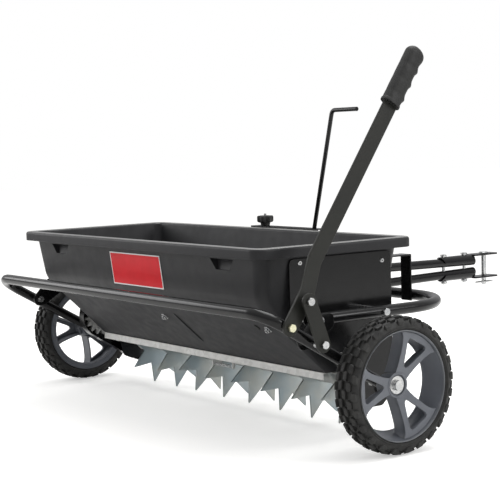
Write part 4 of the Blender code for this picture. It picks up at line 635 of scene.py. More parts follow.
def lip_arc(inset, z, radius, start, end, shrink=0.0, steps=5):
    """Rings round an edge of the rim: the arc is in the plane of the inset and the height."""
    rings = []
    for k in range(steps + 1):
        a = radians(start + (end - start) * k / steps)
        away = inset - radius * cos(a)
        rings.append(wall_ring(z + radius * sin(a), away, CORNER_RADIUS - min(away, CORNER_LOSS) - shrink))
    return rings


def make_hopper():
    """One shell, up the inside, over the rim and down the outside, with its pockets and holes."""
    bend = LIP_OVERHANG + wall_drop(BEND_Z)
    top = LIP_OVERHANG + wall_drop(HOPPER_TOP)
    under = HOPPER_TOP - LIP_WALL - LIP_ROUND
    inner_corner = CORNER_RADIUS - HOPPER_WALL
    inner_bend = wall_ring(BEND_Z, bend + HOPPER_WALL, inner_corner)
    inner_top = wall_ring(HOPPER_TOP - LIP_ROUND, top + HOPPER_WALL, inner_corner)
    inner_floor = floor_ring(FLOOR_Z + HOPPER_WALL, HOPPER_WALL)
    outer_bend = wall_ring(BEND_Z, bend)
    outer_under = wall_ring(under, LIP_OVERHANG + wall_drop(under))
    outer_floor = floor_ring(FLOOR_Z, 0.0)
    rings = [inner_floor] + list(reversed(softened_bend(inner_top, inner_bend, inner_floor)))
    rings += lip_arc(top + HOPPER_WALL - LIP_ROUND, HOPPER_TOP - LIP_ROUND, LIP_ROUND, 180, 90, HOPPER_WALL)
    rings += lip_arc(LIP_ROUND, HOPPER_TOP - LIP_ROUND, LIP_ROUND, 90, 0)
    foot = HOPPER_TOP - LIP_HEIGHT
    lip_foot = ((foot + LIP_EDGE, 0.0), (foot, LIP_EDGE), (foot, LIP_WALL - LIP_EDGE),
                (foot + LIP_EDGE, LIP_WALL), (under, LIP_WALL))
    rings += [wall_ring(z, inset) for z, inset in lip_foot] + [outer_under]
    rings += softened_bend(outer_under, outer_bend, outer_floor) + [outer_floor]
    hopper = add_object("hopper_shell", loft([ring_points(ring) for ring in rings]), "hopper_plastic")
    cut(hopper, joined(*[pocket(side, HOPPER_WALL, HOPPER_WALL / 4) for _, side in SIDES]), "UNION")
    cuts = [pocket(side, 0.0, -HOPPER_WALL / 2) for _, side in SIDES]
    rear, front = FLOOR_MIDDLE_Y - METERING_WIDTH / 2, FLOOR_MIDDLE_Y + METERING_WIDTH / 2
    for star in STARS:
        x = box_middle(star).x
        slot = rectangle((x - METERING_LENGTH / 2, rear), (x + METERING_LENGTH / 2, front))
        slot = rounded(slot, METERING_ROUND)
        cuts.append(plate(slot, [], FLOOR_Z - HOPPER_WALL, FLOOR_Z + 2 * HOPPER_WALL, "Z"))
    agitator = joint_at("agitator_spin")
    for _, side in SIDES:
        ends = [(side * x, agitator.y, agitator.z) for x in (FLOOR_HALF_LENGTH - 3 * HOPPER_WALL, LOOP_X)]
        cuts.append(sweep(ends, AGITATOR_HOLE, 24))
    cut(hopper, joined(*cuts))
    hopper.data.shade_smooth()
    hopper.data.set_sharp_from_angle(angle=radians(32))
    # The upward faces of the rim's top take the lighter finish, a painted highlight
    hopper.data.materials.append(FINISHES["hopper_rim_painted_highlight"])
    for face in hopper.data.polygons:
        if face.center.z > HOPPER_TOP - LIP_ROUND and face.normal.z > PAINTED_HIGHLIGHT_RISE:
            face.material_index = 1
    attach(hopper, BODY_OF["hopper"])
    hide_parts("hopper")


def pocket(side, skin, behind):
    """The finger pocket under the rear lip: deep at its top, narrower and shallower at its foot."""
    rings = []
    end = HOPPER_HIGH.x - POCKET_FROM_END
    top = HOPPER_TOP - POCKET_DROP
    for z, depth, inset in ((top - POCKET_HEIGHT - skin, POCKET_FOOT_DEPTH + skin, POCKET_TAPER),
                            (top + skin * 0.6, POCKET_DEPTH + skin, 0.0)):
        y = rear_wall_y(z)
        near, far = end - POCKET_LENGTH - skin + inset, end + skin - inset
        corners = ((near, behind), (far, behind), (far - depth / 2, depth), (near + depth / 2, depth))
        rings.append([Vector((side * x, y + out, z)) for x, out in corners])
    return loft(rings)


def panel_point(x, z, out=0.0):
    """A point on the rear sloping panel, a little way out from it, and the panel's outward direction."""
    low = Vector((AXLE.y + FLOOR_REAR_Y, FLOOR_Z))
    slope = Vector((rear_wall_y(BEND_Z), BEND_Z)) - low
    away = Vector((-slope.y, slope.x)).normalized()
    point = low + slope * (z - FLOOR_Z) / (BEND_Z - FLOOR_Z) + away * out
    return Vector((x, point.x, point.y)), Vector((0.0, away.x, away.y))


# The rear panel's crease: its top, how far it leans and drops, and its radius by the share of its length
CREASE_X = 0.0466
CREASE_Z = 0.2261
CREASE_LEAN = 0.0021
CREASE_DROP = 0.0656
CREASE_RADII = ((0.0, 0.0006), (0.12, 0.0019), (0.5, 0.0021), (0.88, 0.0019), (1.0, 0.0006))

# The rear panel's fittings, with their (x, z), and how far the crease and the plug stand out
PANEL_BOLTS = (("panel_bolt", -0.0068, 0.2145), ("panel_nut", 0.3662, 0.2225))
PANEL_WASHER = 0.0012
PANEL_WASHER_SPREAD = 1.35
PANEL_THREAD = 0.0024
PANEL_PLUG = (0.331, 0.2226)
PLUG_STEPS = ((0.0008, 0.0075, False), (0.0016, 0.0062, False))
PROUD = 0.0002

# The end plates' rivets: their (y, z) from the axle, and outlines of head and tail as (radius, height)
RIVETS = ((-0.1053, 0.3495), (0.095, 0.3394))
RIVET_HEAD = ((0.0012, 0.0), (0.0046, 0.0), (0.0038, 0.0016), (0.0016, 0.0016), (0.0012, 0.0006))
RIVET_TAIL = ((0.0004, 0.0), (0.0042, 0.0), (0.0034, 0.0014), (0.0004, 0.0016))
TAIL_SEAT = 0.0016


def make_hopper_fittings():
    """The rear panel's crease, bolts and plug, and the rivets that hold the end plates."""
    crease = []
    for share, _ in CREASE_RADII:
        x, z = CREASE_X + CREASE_LEAN * share, CREASE_Z - CREASE_DROP * share
        crease.append(panel_point(x, z, PROUD)[0])
    piece("panel_crease", sweep(crease, [radius for _, radius in CREASE_RADII], 12), "hopper", replaces=False)
    shank, head, height = M6
    top = PANEL_WASHER + height
    for name, x, z in PANEL_BOLTS:
        base, out = panel_point(x, z)
        washer = (PANEL_WASHER, head * PANEL_WASHER_SPREAD, False)
        steps = (washer, (top, head, True), (top + PANEL_THREAD, shank, False))
        piece(name, fastener(base, out, steps), "hopper", replaces=False, slot="bright_zinc")
    base, out = panel_point(*PANEL_PLUG, PROUD)
    piece("panel_plug", fastener(base, out, PLUG_STEPS), "hopper", replaces=False, slot="grip_vinyl")
    inside, outside = faces_of("end_plate_right")
    inside -= HOPPER_WALL + TAIL_SEAT
    for name, side in SIDES:
        rivets = []
        for y, z in RIVETS:
            rivets.append(turned(RIVET_HEAD, from_axle(side * outside, y, z), side, 20))
            rivets.append(turned(RIVET_TAIL, from_axle(side * inside, y, z), -side, 20))
        piece("end_rivets_" + name, joined(*rivets), "hopper", replaces=False, slot="bright_zinc")


# The label's layers: their piece and finish, how far in their edge is, and how far they stand out
LABEL_LAYERS = (("label_border", "label_white", 0.0, 0.0), ("label_face", "label_red", 0.0024, 0.00012))
LABEL_THICKNESS = 0.0008


def make_label():
    """The plain red plate on a white one that shows as a thin border."""
    low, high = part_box("label_plate")
    for name, finish, inset, proud in LABEL_LAYERS:
        rings = []
        for z in (low.z + inset, high.z - inset):
            back = rear_wall_y(z) - GAP - proud
            corners = rectangle((low.x + inset, back - LABEL_THICKNESS), (high.x - inset, back))
            rings.append([Vector((x, y, z)) for x, y in corners])
        piece(name, loft(rings), "label_plate", finish=finish, bevel=0.0002)


# Frame

def make_main_frame():
    path = bent([(LOOP_X, LOOP_LOW.y, LOOP_Z), (LOOP_X, LOOP_FRONT_Y, LOOP_Z),
                 (-LOOP_X, LOOP_FRONT_Y, LOOP_Z), (-LOOP_X, LOOP_LOW.y, LOOP_Z)], LOOP_BEND, 24)
    piece("frame_loop", sweep(path, TUBE_RADIUS, wall=TUBE_WALL), "main_frame_tube")


def make_lift_tube():
    slope = (CROSS_Z - AXLE.z) / (CROSS_Y - AXLE.y)
    end_z = LIFT_LOW.z + TUBE_RADIUS * cos(atan(slope))
    end_y = AXLE.y + (end_z - AXLE.z) / slope
    corners = [(LEG_X, end_y, end_z), (LEG_X, CROSS_Y, CROSS_Z)]
    corners += [(-x, y, z) for x, y, z in reversed(corners)]
    piece("lift_frame_tube", sweep(bent(corners, LIFT_BENDS), TUBE_RADIUS, wall=TUBE_WALL), "lift_tube")


def make_drawbar():
    """Two round tubes that close towards the nose."""
    for name, grow in LEVELS:
        node = "drawbar_tube_" + name
        low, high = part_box(node)
        root = LOOP_Z + grow * (TUBE_RADIUS + DRAWBAR_RADIUS + GAP)
        nose = LOOP_Z + grow * DRAWBAR_NOSE
        settled = root + (nose - root) * DRAWBAR_SETTLE
        path = [(0.0, low.y, root), (0.0, LOOP_FRONT_Y - DRAWBAR_BEND, root),
                (0.0, LOOP_FRONT_Y + DRAWBAR_BEND, settled), (0.0, high.y, nose)]
        piece("drawbar_" + name, sweep(path, DRAWBAR_RADIUS, wall=TUBE_WALL), node)


def half_round(radius):
    """The upper half of a circle, with short straight sides below it."""
    arc = circle((0, 0), radius)
    return [(radius, -SADDLE_SIDE), *arc[:len(arc) // 2 + 1], (-radius, -SADDLE_SIDE)]


def make_hitch_plates():
    """Half-round saddles over the tubes, cut slanted at the rear, with flat tongues that take the pin."""
    pin = box_middle("hitch_pin")
    skin = DRAWBAR_RADIUS + GAP + SADDLE_WALL
    for name, grow in LEVELS:
        node = "hitch_plate_" + name
        low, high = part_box(node)
        face = high.z if grow > 0 else low.z
        section = half_round(skin) + half_round(skin - SADDLE_WALL)[::-1]
        rings = []
        for y, slant in ((low.y, SADDLE_SLANT), (low.y + SADDLE_LENGTH, 0.0)):
            rings.append([Vector((x, y + slant * (skin - up) / skin, face + grow * (up - skin)))
                          for x, up in section])
        front = rectangle((low.x, low.y + SADDLE_LENGTH - TONGUE_OVERLAP), (high.x, high.y))
        foot, top = sorted((face, face - grow * TONGUE_THICKNESS))
        tongue = plate(rounded(front, TONGUE_ROUND), [circle((pin.x, pin.y), PIN_HOLE)], foot, top, "Z")
        piece(node + "_finished", joined(loft(rings), tongue), node, bevel=0.0006)


def make_flow_rod():
    low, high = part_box("flow_rod")
    pivot = joint_at("flow_swing")
    r = FLOW_ROD_RADIUS
    front_y, top_z, toe_z = high.y - r, high.z - r, low.z + r
    top_x = pivot.x + (top_z - pivot.z) * tan(FLOW_LEAN)
    toe_x = pivot.x - (pivot.z - toe_z) * tan(FLOW_LEAN)
    crank_y = FLOOR_MIDDLE_Y + FLOW_CRANK
    corners = [(high.x, front_y, top_z), (top_x, front_y, top_z), (pivot.x, front_y, pivot.z),
               (pivot.x, crank_y, pivot.z), (toe_x, crank_y, toe_z), (toe_x, low.y, toe_z)]
    piece("flow_arm_rod", sweep(bent(corners, FLOW_BEND, 10), r, 20), "flow_rod")


# Parts that keep their modelled shape, with the small radius that a pressed or sawn edge has
SOFTENED = (
    ("end_plate_right", 0.0007), ("end_plate_left", 0.0007), ("pivot_plate_right", 0.0008),
    ("pivot_plate_left", 0.0008), ("front_bracket_left", 0.0006), ("front_bracket_right", 0.0006),
    ("drawbar_bracket", 0.0006), ("gear_guard", 0.0005), ("flow_bracket", 0.0005), ("flow_gauge", 0.0005),
    ("lever_bar", 0.0011), ("lever_brace", 0.0009), ("closure_plate", 0.0004), ("closure_guide", 0.0004),
    ("idler_gear", 0.0004), ("agitator_rod", 0.0003), ("stop_block", 0.0004),
    *[(star, 0.0006) for star in STARS])


def make_softened():
    for node, width in SOFTENED:
        piece(node + "_finished", solid_of(node), node, bevel=width)
    for node in ("shaft_bearing_left", "shaft_bearing_right"):
        frame["nodes"][node].material_slots[0].material = FINISHES["nylon"]


# Fasteners

def cross_bolt(node, side, faces, size, spacers=(), washer=0.0, finish=None):
    """A bolt along X with its nut and spacers, between an outer and an inner seat."""
    middle = box_middle(node)
    shank, head, height = size
    outer, inner = faces
    collar = WASHER_HEIGHT if washer else 0.0
    start = outer + GAP + collar + height
    nut = start - inner + GAP
    sections = [(height, head, True)]
    if washer:
        sections.append((height + collar, washer, False))
    for high, low, radius in spacers:
        sections += [(start - high + GAP, shank, False), (start - low - GAP, radius, False)]
    sections += [(nut, shank, False), (nut + height, head, True), (nut + height + THREAD_END, shank, False)]
    bolt = fastener((side * start, middle.y, middle.z), (-side, 0, 0), sections)
    piece(node + "_finished", bolt, node, finish=finish)


def upright_bolt(node):
    """A bolt down through the drawbar, with its nut below."""
    low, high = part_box(node)
    middle = box_middle(node)
    shank, head, height = M8
    length = high.z - low.z
    nut = length - THREAD_END - height
    sections = ((height, head, True), (nut, shank, False), (nut + height, head, True), (length, shank, False))
    piece(node + "_finished", fastener((middle.x, middle.y, high.z), (0, 0, -1), sections), node)


def make_fasteners():
    plate_in, plate_out = faces_of("end_plate_right")
    pivot_in, pivot_out = faces_of("pivot_plate_right")
    brace_in, brace_out = faces_of("lever_brace")
    lever_in, lever_out = LEG_X + TUBE_RADIUS + GAP, faces_of("lever_bar")[1]
    leg_in, leg_out = LEG_X - TUBE_RADIUS, LEG_X + TUBE_RADIUS
    gap_filler = (LOOP_X - TUBE_RADIUS, plate_out, SPACER_TUBE)
    leg_spacer = (leg_in, pivot_out, SPACER_TUBE)
    brace_spacer = (brace_in, leg_out, SPACER_TUBE)
    hub_tube = (faces_of("rim_right")[0], leg_out, HUB_TUBE)
    for name, side in SIDES:
        cross_bolt("frame_bolt_rear_" + name, side, (pivot_out, plate_in), M8, [gap_filler])
        cross_bolt("frame_bolt_front_" + name, side, (LOOP_X + TUBE_RADIUS, plate_in), M8, [gap_filler])
        axle = "axle_bolt_" + name
        seat = faces_of(axle)[1] - AXLE_HEX[2] - WASHER_HEIGHT - GAP - HUB_RECESS
        cross_bolt(axle, side, (seat, leg_in), AXLE_HEX, [hub_tube], AXLE_WASHER)
    cross_bolt("lever_foot_bolt", 1, (lever_out, leg_in), M8, finish="yellow_zinc")
    cross_bolt("brace_bolt", 1, (brace_out, lever_in), M8, [(brace_in, lever_out, SPACER_TUBE)])
    cross_bolt("pivot_bolt_right", 1, (brace_out, pivot_in), M8, [brace_spacer, leg_spacer])
    cross_bolt("pivot_bolt_left", -1, (leg_out, pivot_in), M8, [leg_spacer])
    for node in ("drawbar_bolt", "hitch_bolt_rear", "hitch_bolt_front"):
        upright_bolt(node)


# Wheels

# The tyre's outer surface from the middle of the crown round the shoulder to the bead: (across, radius)
CARCASS = ((0.0, 0.1212), (0.01, 0.1209), (0.018, 0.1198), (0.0228, 0.1174), (0.0258, 0.1136),
           (0.027, 0.109), (0.0264, 0.105), (0.0246, 0.1034), (0.0226, 0.1023))

# Tread blocks, row by row from the crown outwards: (distance along the surface, half length, height share)
TREAD_ROWS = (
    ((0.0008, 0.0066, 0.9), (0.002, 0.0078, 1.0), (0.0076, 0.0078, 1.0), (0.0088, 0.0064, 0.9)),
    ((0.0106, 0.0064, 0.9), (0.0118, 0.0077, 1.0), (0.017, 0.0076, 1.0), (0.0182, 0.0062, 0.9)),
    ((0.02, 0.006, 0.9), (0.0214, 0.0074, 1.0), (0.0256, 0.007, 0.75), (0.03, 0.0046, 0.2)))
LUG_SKEW = 0.22
LUG_FLARE = 0.0009
LUG_ROOT = 0.0012
LUG_CHAMFER = 0.001

# The tyre's seat on the rim and the rib round its side wall, as (radius, across)
BEAD_SEAT = 0.1023
BEAD_HALF_WIDTH = 0.02
SIDE_RIB = ((0.105, 0.0255), (0.1062, 0.0278), (0.107, 0.0278), (0.1078, 0.0255))


def carcass_at(distance):
    """A point of the tyre's outer surface and its outward direction, as (across, radius) pairs."""
    left = distance
    for (x0, r0), (x1, r1) in zip(CARCASS, CARCASS[1:]):
        length = hypot(x1 - x0, r1 - r0)
        if left <= length:
            t = left / length
            return Vector((x0 + (x1 - x0) * t, r0 + (r1 - r0) * t)), Vector((r0 - r1, x1 - x0)) / length
        left -= length
    raise ValueError(distance)


def lug(stations, turn, side):
    """One tread block, wrapped round the shoulder: its flanks taper and its top edges are chamfered."""
    rings = []
    for distance, half, share in stations:
        base, out = carcass_at(distance)
        height = TREAD_HEIGHT * share
        chamfer = min(LUG_CHAMFER, height * 0.4)
        ring = []
        for along, up in ((-half - LUG_FLARE, -LUG_ROOT), (-half, height - chamfer), (chamfer - half, height),
                          (half - chamfer, height), (half, height - chamfer), (half + LUG_FLARE, -LUG_ROOT)):
            place = base + out * up
            a = turn + (along + LUG_SKEW * distance) / base.y
            ring.append(Vector((side * place.x, place.y * cos(a), place.y * sin(a))))
        rings.append(ring)
    return loft(rings)


def make_tyre(name, side):
    node = "tyre_" + name
    origin = Vector((0, 0, 0))
    profile = [(r, x) for x, r in CARCASS] + [(BEAD_SEAT, BEAD_HALF_WIDTH), (BEAD_SEAT, -BEAD_HALF_WIDTH)]
    profile += [(r, -x) for x, r in reversed(CARCASS[1:])]
    solids = [turned(profile, origin, sides=120)]
    for k in range(TREAD_LUGS):
        for row in (1, -1):
            for number, stations in enumerate(TREAD_ROWS):
                shift = 0.5 * ((number + (row < 0)) % 2)
                solids.append(lug(stations, 2 * pi * (k + shift) / TREAD_LUGS, row))
    for row in (1, -1):
        solids.append(turned(SIDE_RIB, origin, row, 96))
    bm = joined(*solids)
    bmesh.ops.translate(bm, verts=bm.verts[:], vec=box_middle(node))
    piece("treaded_tyre_" + name, bm, node, sharp=28)


def polar(radius, degrees, middle):
    a = radians(degrees) + middle
    return (AXLE.y + radius * cos(a), AXLE.z + radius * sin(a))


def inset_outline(outline, distance):
    """The outline moved in by a distance along each point's own direction."""
    points = []
    count = len(outline)
    for i in range(count):
        here = Vector(outline[i])
        ahead = (Vector(outline[(i + 1) % count]) - here).normalized()
        back = (here - Vector(outline[i - 1])).normalized()
        way = (ahead + back).normalized()
        points.append(tuple(here + Vector((-way.y, way.x)) * distance))
    return points


# A spoke pair's flank and the window between its spokes: (radius, degrees from the pair's middle)
SPOKE_FLANK = ((0.026, 36.0), (0.034, 30.0), (0.045, 26.5), (0.06, 24.6), (0.075, 24.0), (0.087, 24.8),
               (0.094, 26.2))
WINDOW = ((0.026, 0), (0.0905, -17.0), (0.0905, 17.0))
WINDOW_ROUND = 0.0082


def spoke_pair(side, middle, face):
    """A pair of spokes with the small window between them: a face on deep side walls."""
    outline = [polar(SPOKE_ROOT, degrees, middle) for degrees in range(42, -43, -14)]
    outline += [polar(r, -degrees, middle) for r, degrees in SPOKE_FLANK]
    outline += [polar(SPOKE_REACH, degrees, middle) for degrees in range(-28, 29, 7)]
    outline += [polar(r, degrees, middle) for r, degrees in reversed(SPOKE_FLANK)]
    window = rounded([polar(r, degrees, middle) for r, degrees in WINDOW], WINDOW_ROUND)
    low, high = sorted((side * face, side * (face - SPOKE_PLATE)))
    face_plate = plate(outline, [window], low, high, "X")
    low, high = sorted((side * (face - SPOKE_PLATE / 2), side * (face - SPOKE_DEPTH)))
    walls = plate(outline, [inset_outline(outline, SPOKE_WALL)], low, high, "X")
    for solid in (face_plate, walls):
        for vert in solid.verts:
            reach = hypot(vert.co.y - AXLE.y, vert.co.z - AXLE.z)
            vert.co.x -= side * SPOKE_DISH * (1.0 - reach / SPOKE_REACH)
    return [face_plate, walls]


def make_rim(name, side):
    """The barrel with its three spoke pairs, the hub and the lip, lighter as a painted highlight, each as (radius,
    distance out).
    """
    node = "rim_" + name
    low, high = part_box(node)
    radius = (high.z - low.z) / 2
    centre = Vector((0.0, AXLE.y, AXLE.z))
    outer = faces_of("tyre_" + name)[1] - RIM_INSET
    inner = outer - BARREL_DEPTH
    barrel = ((radius, inner), (radius, outer - 0.004), (radius - 0.003, outer - 0.004),
              (radius - 0.004, outer - 0.01), (0.0955, outer - 0.022), (0.0925, outer - 0.034),
              (0.0888, inner + 0.0075), (0.0872, inner + 0.006), (0.0868, inner + 0.0035),
              (0.0882, inner + 0.0022), (0.0915, inner + 0.003), (0.095, inner + 0.001), (0.0975, inner))
    solids = [turned(barrel, centre, side, 96)]
    for k in range(3):
        solids += spoke_pair(side, radians(60 + 120 * k), outer - RIM_SETBACK)
    piece("spoked_rim_" + name, joined(*solids), node, bevel=0.001)
    hub_in, hub_out = faces_of(node)
    hub_face = hub_out - HUB_SETBACK - HUB_RECESS
    ring_top = hub_face + HUB_RING
    hub = ((0.0067, hub_in), (0.017, hub_in), (0.0188, hub_in + 0.004), (0.0222, ring_top - 0.013),
           (0.0236, ring_top - 0.003), (0.0236, ring_top - 0.001), (0.0226, ring_top), (0.02, ring_top),
           (0.019, ring_top - 0.001), (0.0184, hub_face), (0.0067, hub_face))
    piece("hub_" + name, turned(hub, centre, side), node)
    lip = ((radius - 0.0022, outer - 0.0044), (radius - 0.0001, outer - 0.0044), (radius, outer - 0.0016),
           (radius - 0.0004, outer - 0.0003), (radius - 0.001, outer), (radius - 0.0018, outer - 0.0006),
           (radius - 0.0022, outer - 0.002))
    # The lip takes the lighter finish, a painted highlight
    piece("rim_lip_" + name, turned(lip, centre, side, 96), node, finish="rim_lip_painted_highlight")


# Spiker

SHAFT_RADIUS = 0.008
SPACER_RADIUS = 0.0125
COLLAR_RADIUS = 0.0135
COLLAR_LENGTH = 0.008
GEAR_CLEARANCE = 0.002


def sleeve(start, end, radius):
    """A tube round the shaft, its bore just inside the shaft's skin."""
    bore = SHAFT_RADIUS - 0.0001
    outline = ((bore, start), (radius, start), (radius, end), (bore, end))
    return turned(outline, Vector((0, SHAFT.y, SHAFT.z)), sides=28)


def make_shaft():
    """The shaft with the spacer tubes between its stars, its collar and its gear."""
    low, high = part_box("spiker_shaft")
    star_low, star_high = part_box(STARS[0])
    half = (star_high.x - star_low.x) / 2 + GAP
    solids = [sweep([(low.x, SHAFT.y, SHAFT.z), (high.x, SHAFT.y, SHAFT.z)], SHAFT_RADIUS, 24)]
    bearing_in, bearing_out = faces_of("shaft_bearing_right")
    end, collar = bearing_in - GAP, bearing_out + GAP
    edges = [-end] + [box_middle(star).x + sign * half for star in STARS for sign in (-1, 1)] + [end]
    solids += [sleeve(a, b, SPACER_RADIUS) for a, b in zip(edges[0::2], edges[1::2])]
    solids.append(sleeve(collar, collar + COLLAR_LENGTH, COLLAR_RADIUS))
    piece("spiker_shaft_finished", joined(*solids), "spiker_shaft")
    gear = solid_of("spiker_shaft")
    edge = -faces_of("end_plate_right")[1] - GEAR_CLEARANCE
    far = [v for v in gear.verts if v.co.x > edge]
    bmesh.ops.delete(gear, geom=far, context="VERTS")
    bmesh.ops.holes_fill(gear, edges=gear.edges[:])
    piece("spiker_gear", gear, "spiker_shaft", bevel=0.0004, finish="galvanised")


def make_spring():
    low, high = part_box("closure_spring")
    middle = box_middle("closure_spring")
    radius, wire, turns, steps = 0.0031, 0.0007, 11, 12
    tail, lead = 0.0125, 0.0045
    start, end = low.x + tail, high.x - tail
    path = [(low.x, middle.y, middle.z), (start - lead, middle.y, middle.z)]
    for k in range(turns * steps + 1):
        a = 2 * pi * k / steps
        x = start + (end - start) * k / (turns * steps)
        path.append((x, middle.y + radius * cos(a), middle.z + radius * sin(a)))
    path += [(end + lead, middle.y, middle.z), (high.x, middle.y, middle.z)]
    piece("closure_spring_coil", sweep(path, wire, 8), "closure_spring")


# Lever grip, knob, pin and clip

LEVER_LEAN = radians(34.5)
LEVER_LENGTH = 0.583
GRIP_LENGTH = 0.116
GRIP_BEYOND = 0.01

# The grip's half sizes, and what its lip, swell and ridges change in them
GRIP_FRONT = 0.0185
GRIP_BACK = 0.0205
GRIP_DEPTH = 0.0128
GRIP_LIP = 0.0012
GRIP_SWELL = 0.003
RIDGE_HEIGHT = 0.0042
RIDGE_WAIST = 0.06
SQUARENESS = 0.8

# Shares of the grip's length: its ridges, and where its lip ends and its swell and dome begin
RIDGES = (0.17, 0.42, 0.66)
RIDGE_WIDTH = 0.045
LIP_END = 0.045
SWELL_START = 0.76
SWELL_LENGTH = 0.08
DOME_START = 0.87
DOME_LENGTH = 0.1305


def squared(value):
    """A cosine or sine drawn outwards, which makes the grip's section squarer than an oval."""
    return copysign(abs(value) ** SQUARENESS, value)


def make_grip():
    """The moulded grip: a straight back, three finger ridges in front and a domed end."""
    foot = box_middle("lever_foot_bolt")
    x = box_middle("lever_grip").x
    start, end = LEVER_LENGTH - GRIP_LENGTH, LEVER_LENGTH + GRIP_BEYOND
    rings = []
    steps = 60
    for k in range(steps + 1):
        t = k / steps
        along = start + (end - start) * t
        ridge = sum(exp(-((t - place) / RIDGE_WIDTH) ** 2) for place in RIDGES)
        dome = sqrt(max(0.0, 1 - (max(0.0, t - DOME_START) / DOME_LENGTH) ** 2))
        swell = GRIP_SWELL * min(1.0, max(0.0, (t - SWELL_START) / SWELL_LENGTH))
        front = (GRIP_FRONT + RIDGE_HEIGHT * ridge + swell) * dome
        back, deep = GRIP_BACK * dome, GRIP_DEPTH * dome * (1 - RIDGE_WAIST * ridge)
        lip = GRIP_LIP if t < LIP_END else 0.0
        ring = []
        for a in angles(28):
            wide = front if cos(a) > 0 else back
            aside = (wide + lip) * squared(cos(a))
            depth = (deep + lip) * squared(sin(a))
            y = foot.y + along * sin(LEVER_LEAN) + aside * cos(LEVER_LEAN)
            z = foot.z + along * cos(LEVER_LEAN) - aside * sin(LEVER_LEAN)
            ring.append(Vector((x + depth, y, z)))
        rings.append(ring)
    piece("lever_grip_moulded", loft(rings), "lever_grip", sharp=50)


# The knob from its foot up: the share of its height, of its radius and of its lobes
KNOB_PROFILE = (
    (0.0, 0.55, 0.0), (0.12, 0.6, 0.0), (0.26, 0.62, 0.0), (0.34, 0.86, 0.8), (0.42, 0.93, 1.0),
    (0.5, 0.95, 1.0), (0.82, 0.95, 1.0), (0.9, 0.92, 1.0), (0.95, 0.84, 0.9), (0.965, 0.45, 0.2),
    (0.9, 0.36, 0.0))
KNOB_RADIUS = 0.0175
KNOB_LOBES = 6
LOBE_DEPTH = 0.0018
STUD_FOOT = 0.006
STUD_STEPS = ((0.0085, 0.003, False), (0.0095, 0.0024, False))


def make_knob():
    low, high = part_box("stop_knob")
    middle = box_middle("stop_knob")
    tall = high.z - low.z
    rings = []
    for up, wide, lobe in KNOB_PROFILE:
        ring = []
        for a in angles(96):
            r = KNOB_RADIUS * wide + LOBE_DEPTH * lobe * cos(KNOB_LOBES * a)
            ring.append(Vector((middle.x + r * cos(a), middle.y + r * sin(a), low.z + tall * up)))
        rings.append(ring)
    piece("stop_knob_lobed", loft(rings), "stop_knob", sharp=40)
    stud = fastener((middle.x, middle.y, high.z - STUD_FOOT), (0, 0, 1), STUD_STEPS)
    piece("stop_stud", stud, "stop_block", replaces=False, slot="bright_zinc")


PIN_RADIUS = 0.0063


def make_pin():
    low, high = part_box("hitch_pin")
    middle = box_middle("hitch_pin")
    tall = high.z - low.z
    profile = ((0.0045, 0.0), (0.0058, 0.0012), (PIN_RADIUS, 0.003), (PIN_RADIUS, tall - 0.0028),
               (0.0106, tall - 0.0027), (0.011, tall - 0.0022), (0.011, tall - 0.0008), (0.0103, tall))
    rings = [[Vector((x, y, low.z + z)) for x, y in circle(middle, r)] for r, z in profile]
    piece("hitch_pin_finished", loft(rings), "hitch_pin")


# The clip's waved leg: (place along the leg, distance from the straight one), both as shares
CLIP_WAVE = ((-1.0, 1.0), (-0.7, 1.0), (-0.45, 1.0), (-0.25, 1.12), (0.0, 1.15), (0.25, 1.12), (0.45, 1.0),
             (0.6, 1.12), (0.8, 1.45))
CLIP_LEG = 0.024
CLIP_LOOP = 0.008
CLIP_WIRE = 0.0015


def make_clip():
    """A spring clip: its straight leg goes through the pin, and its waved leg runs round the pin."""
    low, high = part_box("hairpin")
    pin = box_middle("hitch_pin")
    z = (low.z + high.z) / 2
    beside = PIN_RADIUS + CLIP_WIRE + 2 * GAP
    turn = beside / 2
    path = [(0.0, pin.y + CLIP_LEG * t, z) for t in (1, 0.5, 0, -0.5, -1)]
    for k in range(1, 16):
        a = pi * k / 16
        path.append((turn - turn * cos(a), pin.y - CLIP_LEG - CLIP_LOOP * sin(a), z))
    path += [(beside * out, pin.y + CLIP_LEG * along, z) for along, out in CLIP_WAVE]
    piece("hairpin_clip", sweep(path, CLIP_WIRE, 12), "hairpin")


# Studio

FLOOR_COLOUR = (0.9, 0.895, 0.88, 1.0)
FLOOR_GLOW = (0.46, 0.46, 0.455, 1.0)
FLOOR_HALF_SIZE = 14.0
DOME_LOW = (0.24, 0.24, 0.26, 1.0)
DOME_HIGH = (0.78, 0.78, 0.78, 1.0)
DOME_RISE = 0.85
WHITE = (1.0, 1.0, 1.0, 1.0)
GLOSSY_SHARE = 0.25

# Each lamp's name, place, target, width and height, and power in watts
LAMPS = (
    ("overhead_softbox", (0.2, 0.3, 2.4), (0.0, -0.1, 0.2), (2.2, 1.6), 42.0),
    ("side_softbox", (-2.3, -1.6, 1.3), (0.0, -0.2, 0.2), (1.4, 1.4), 20.0),
    ("right_softbox", (2.6, 1.2, 1.5), (0.3, 0.0, 0.2), (1.2, 1.0), 20.0))


def white_rays(tree):
    """Which rays see the white: the camera's and transmitted ones in full, glossy ones in part."""
    path = tree.nodes.new("ShaderNodeLightPath").outputs
    glossy = add_node(tree, "Math", {0: path["Is Glossy Ray"], 1: GLOSSY_SHARE})
    glossy.operation = "MULTIPLY"
    value = glossy.outputs["Value"]
    for ray in ("Is Camera Ray", "Is Transmission Ray"):
        either = add_node(tree, "Math", {0: path[ray], 1: value})
        either.operation = "MAXIMUM"
        value = either.outputs["Value"]
    return value


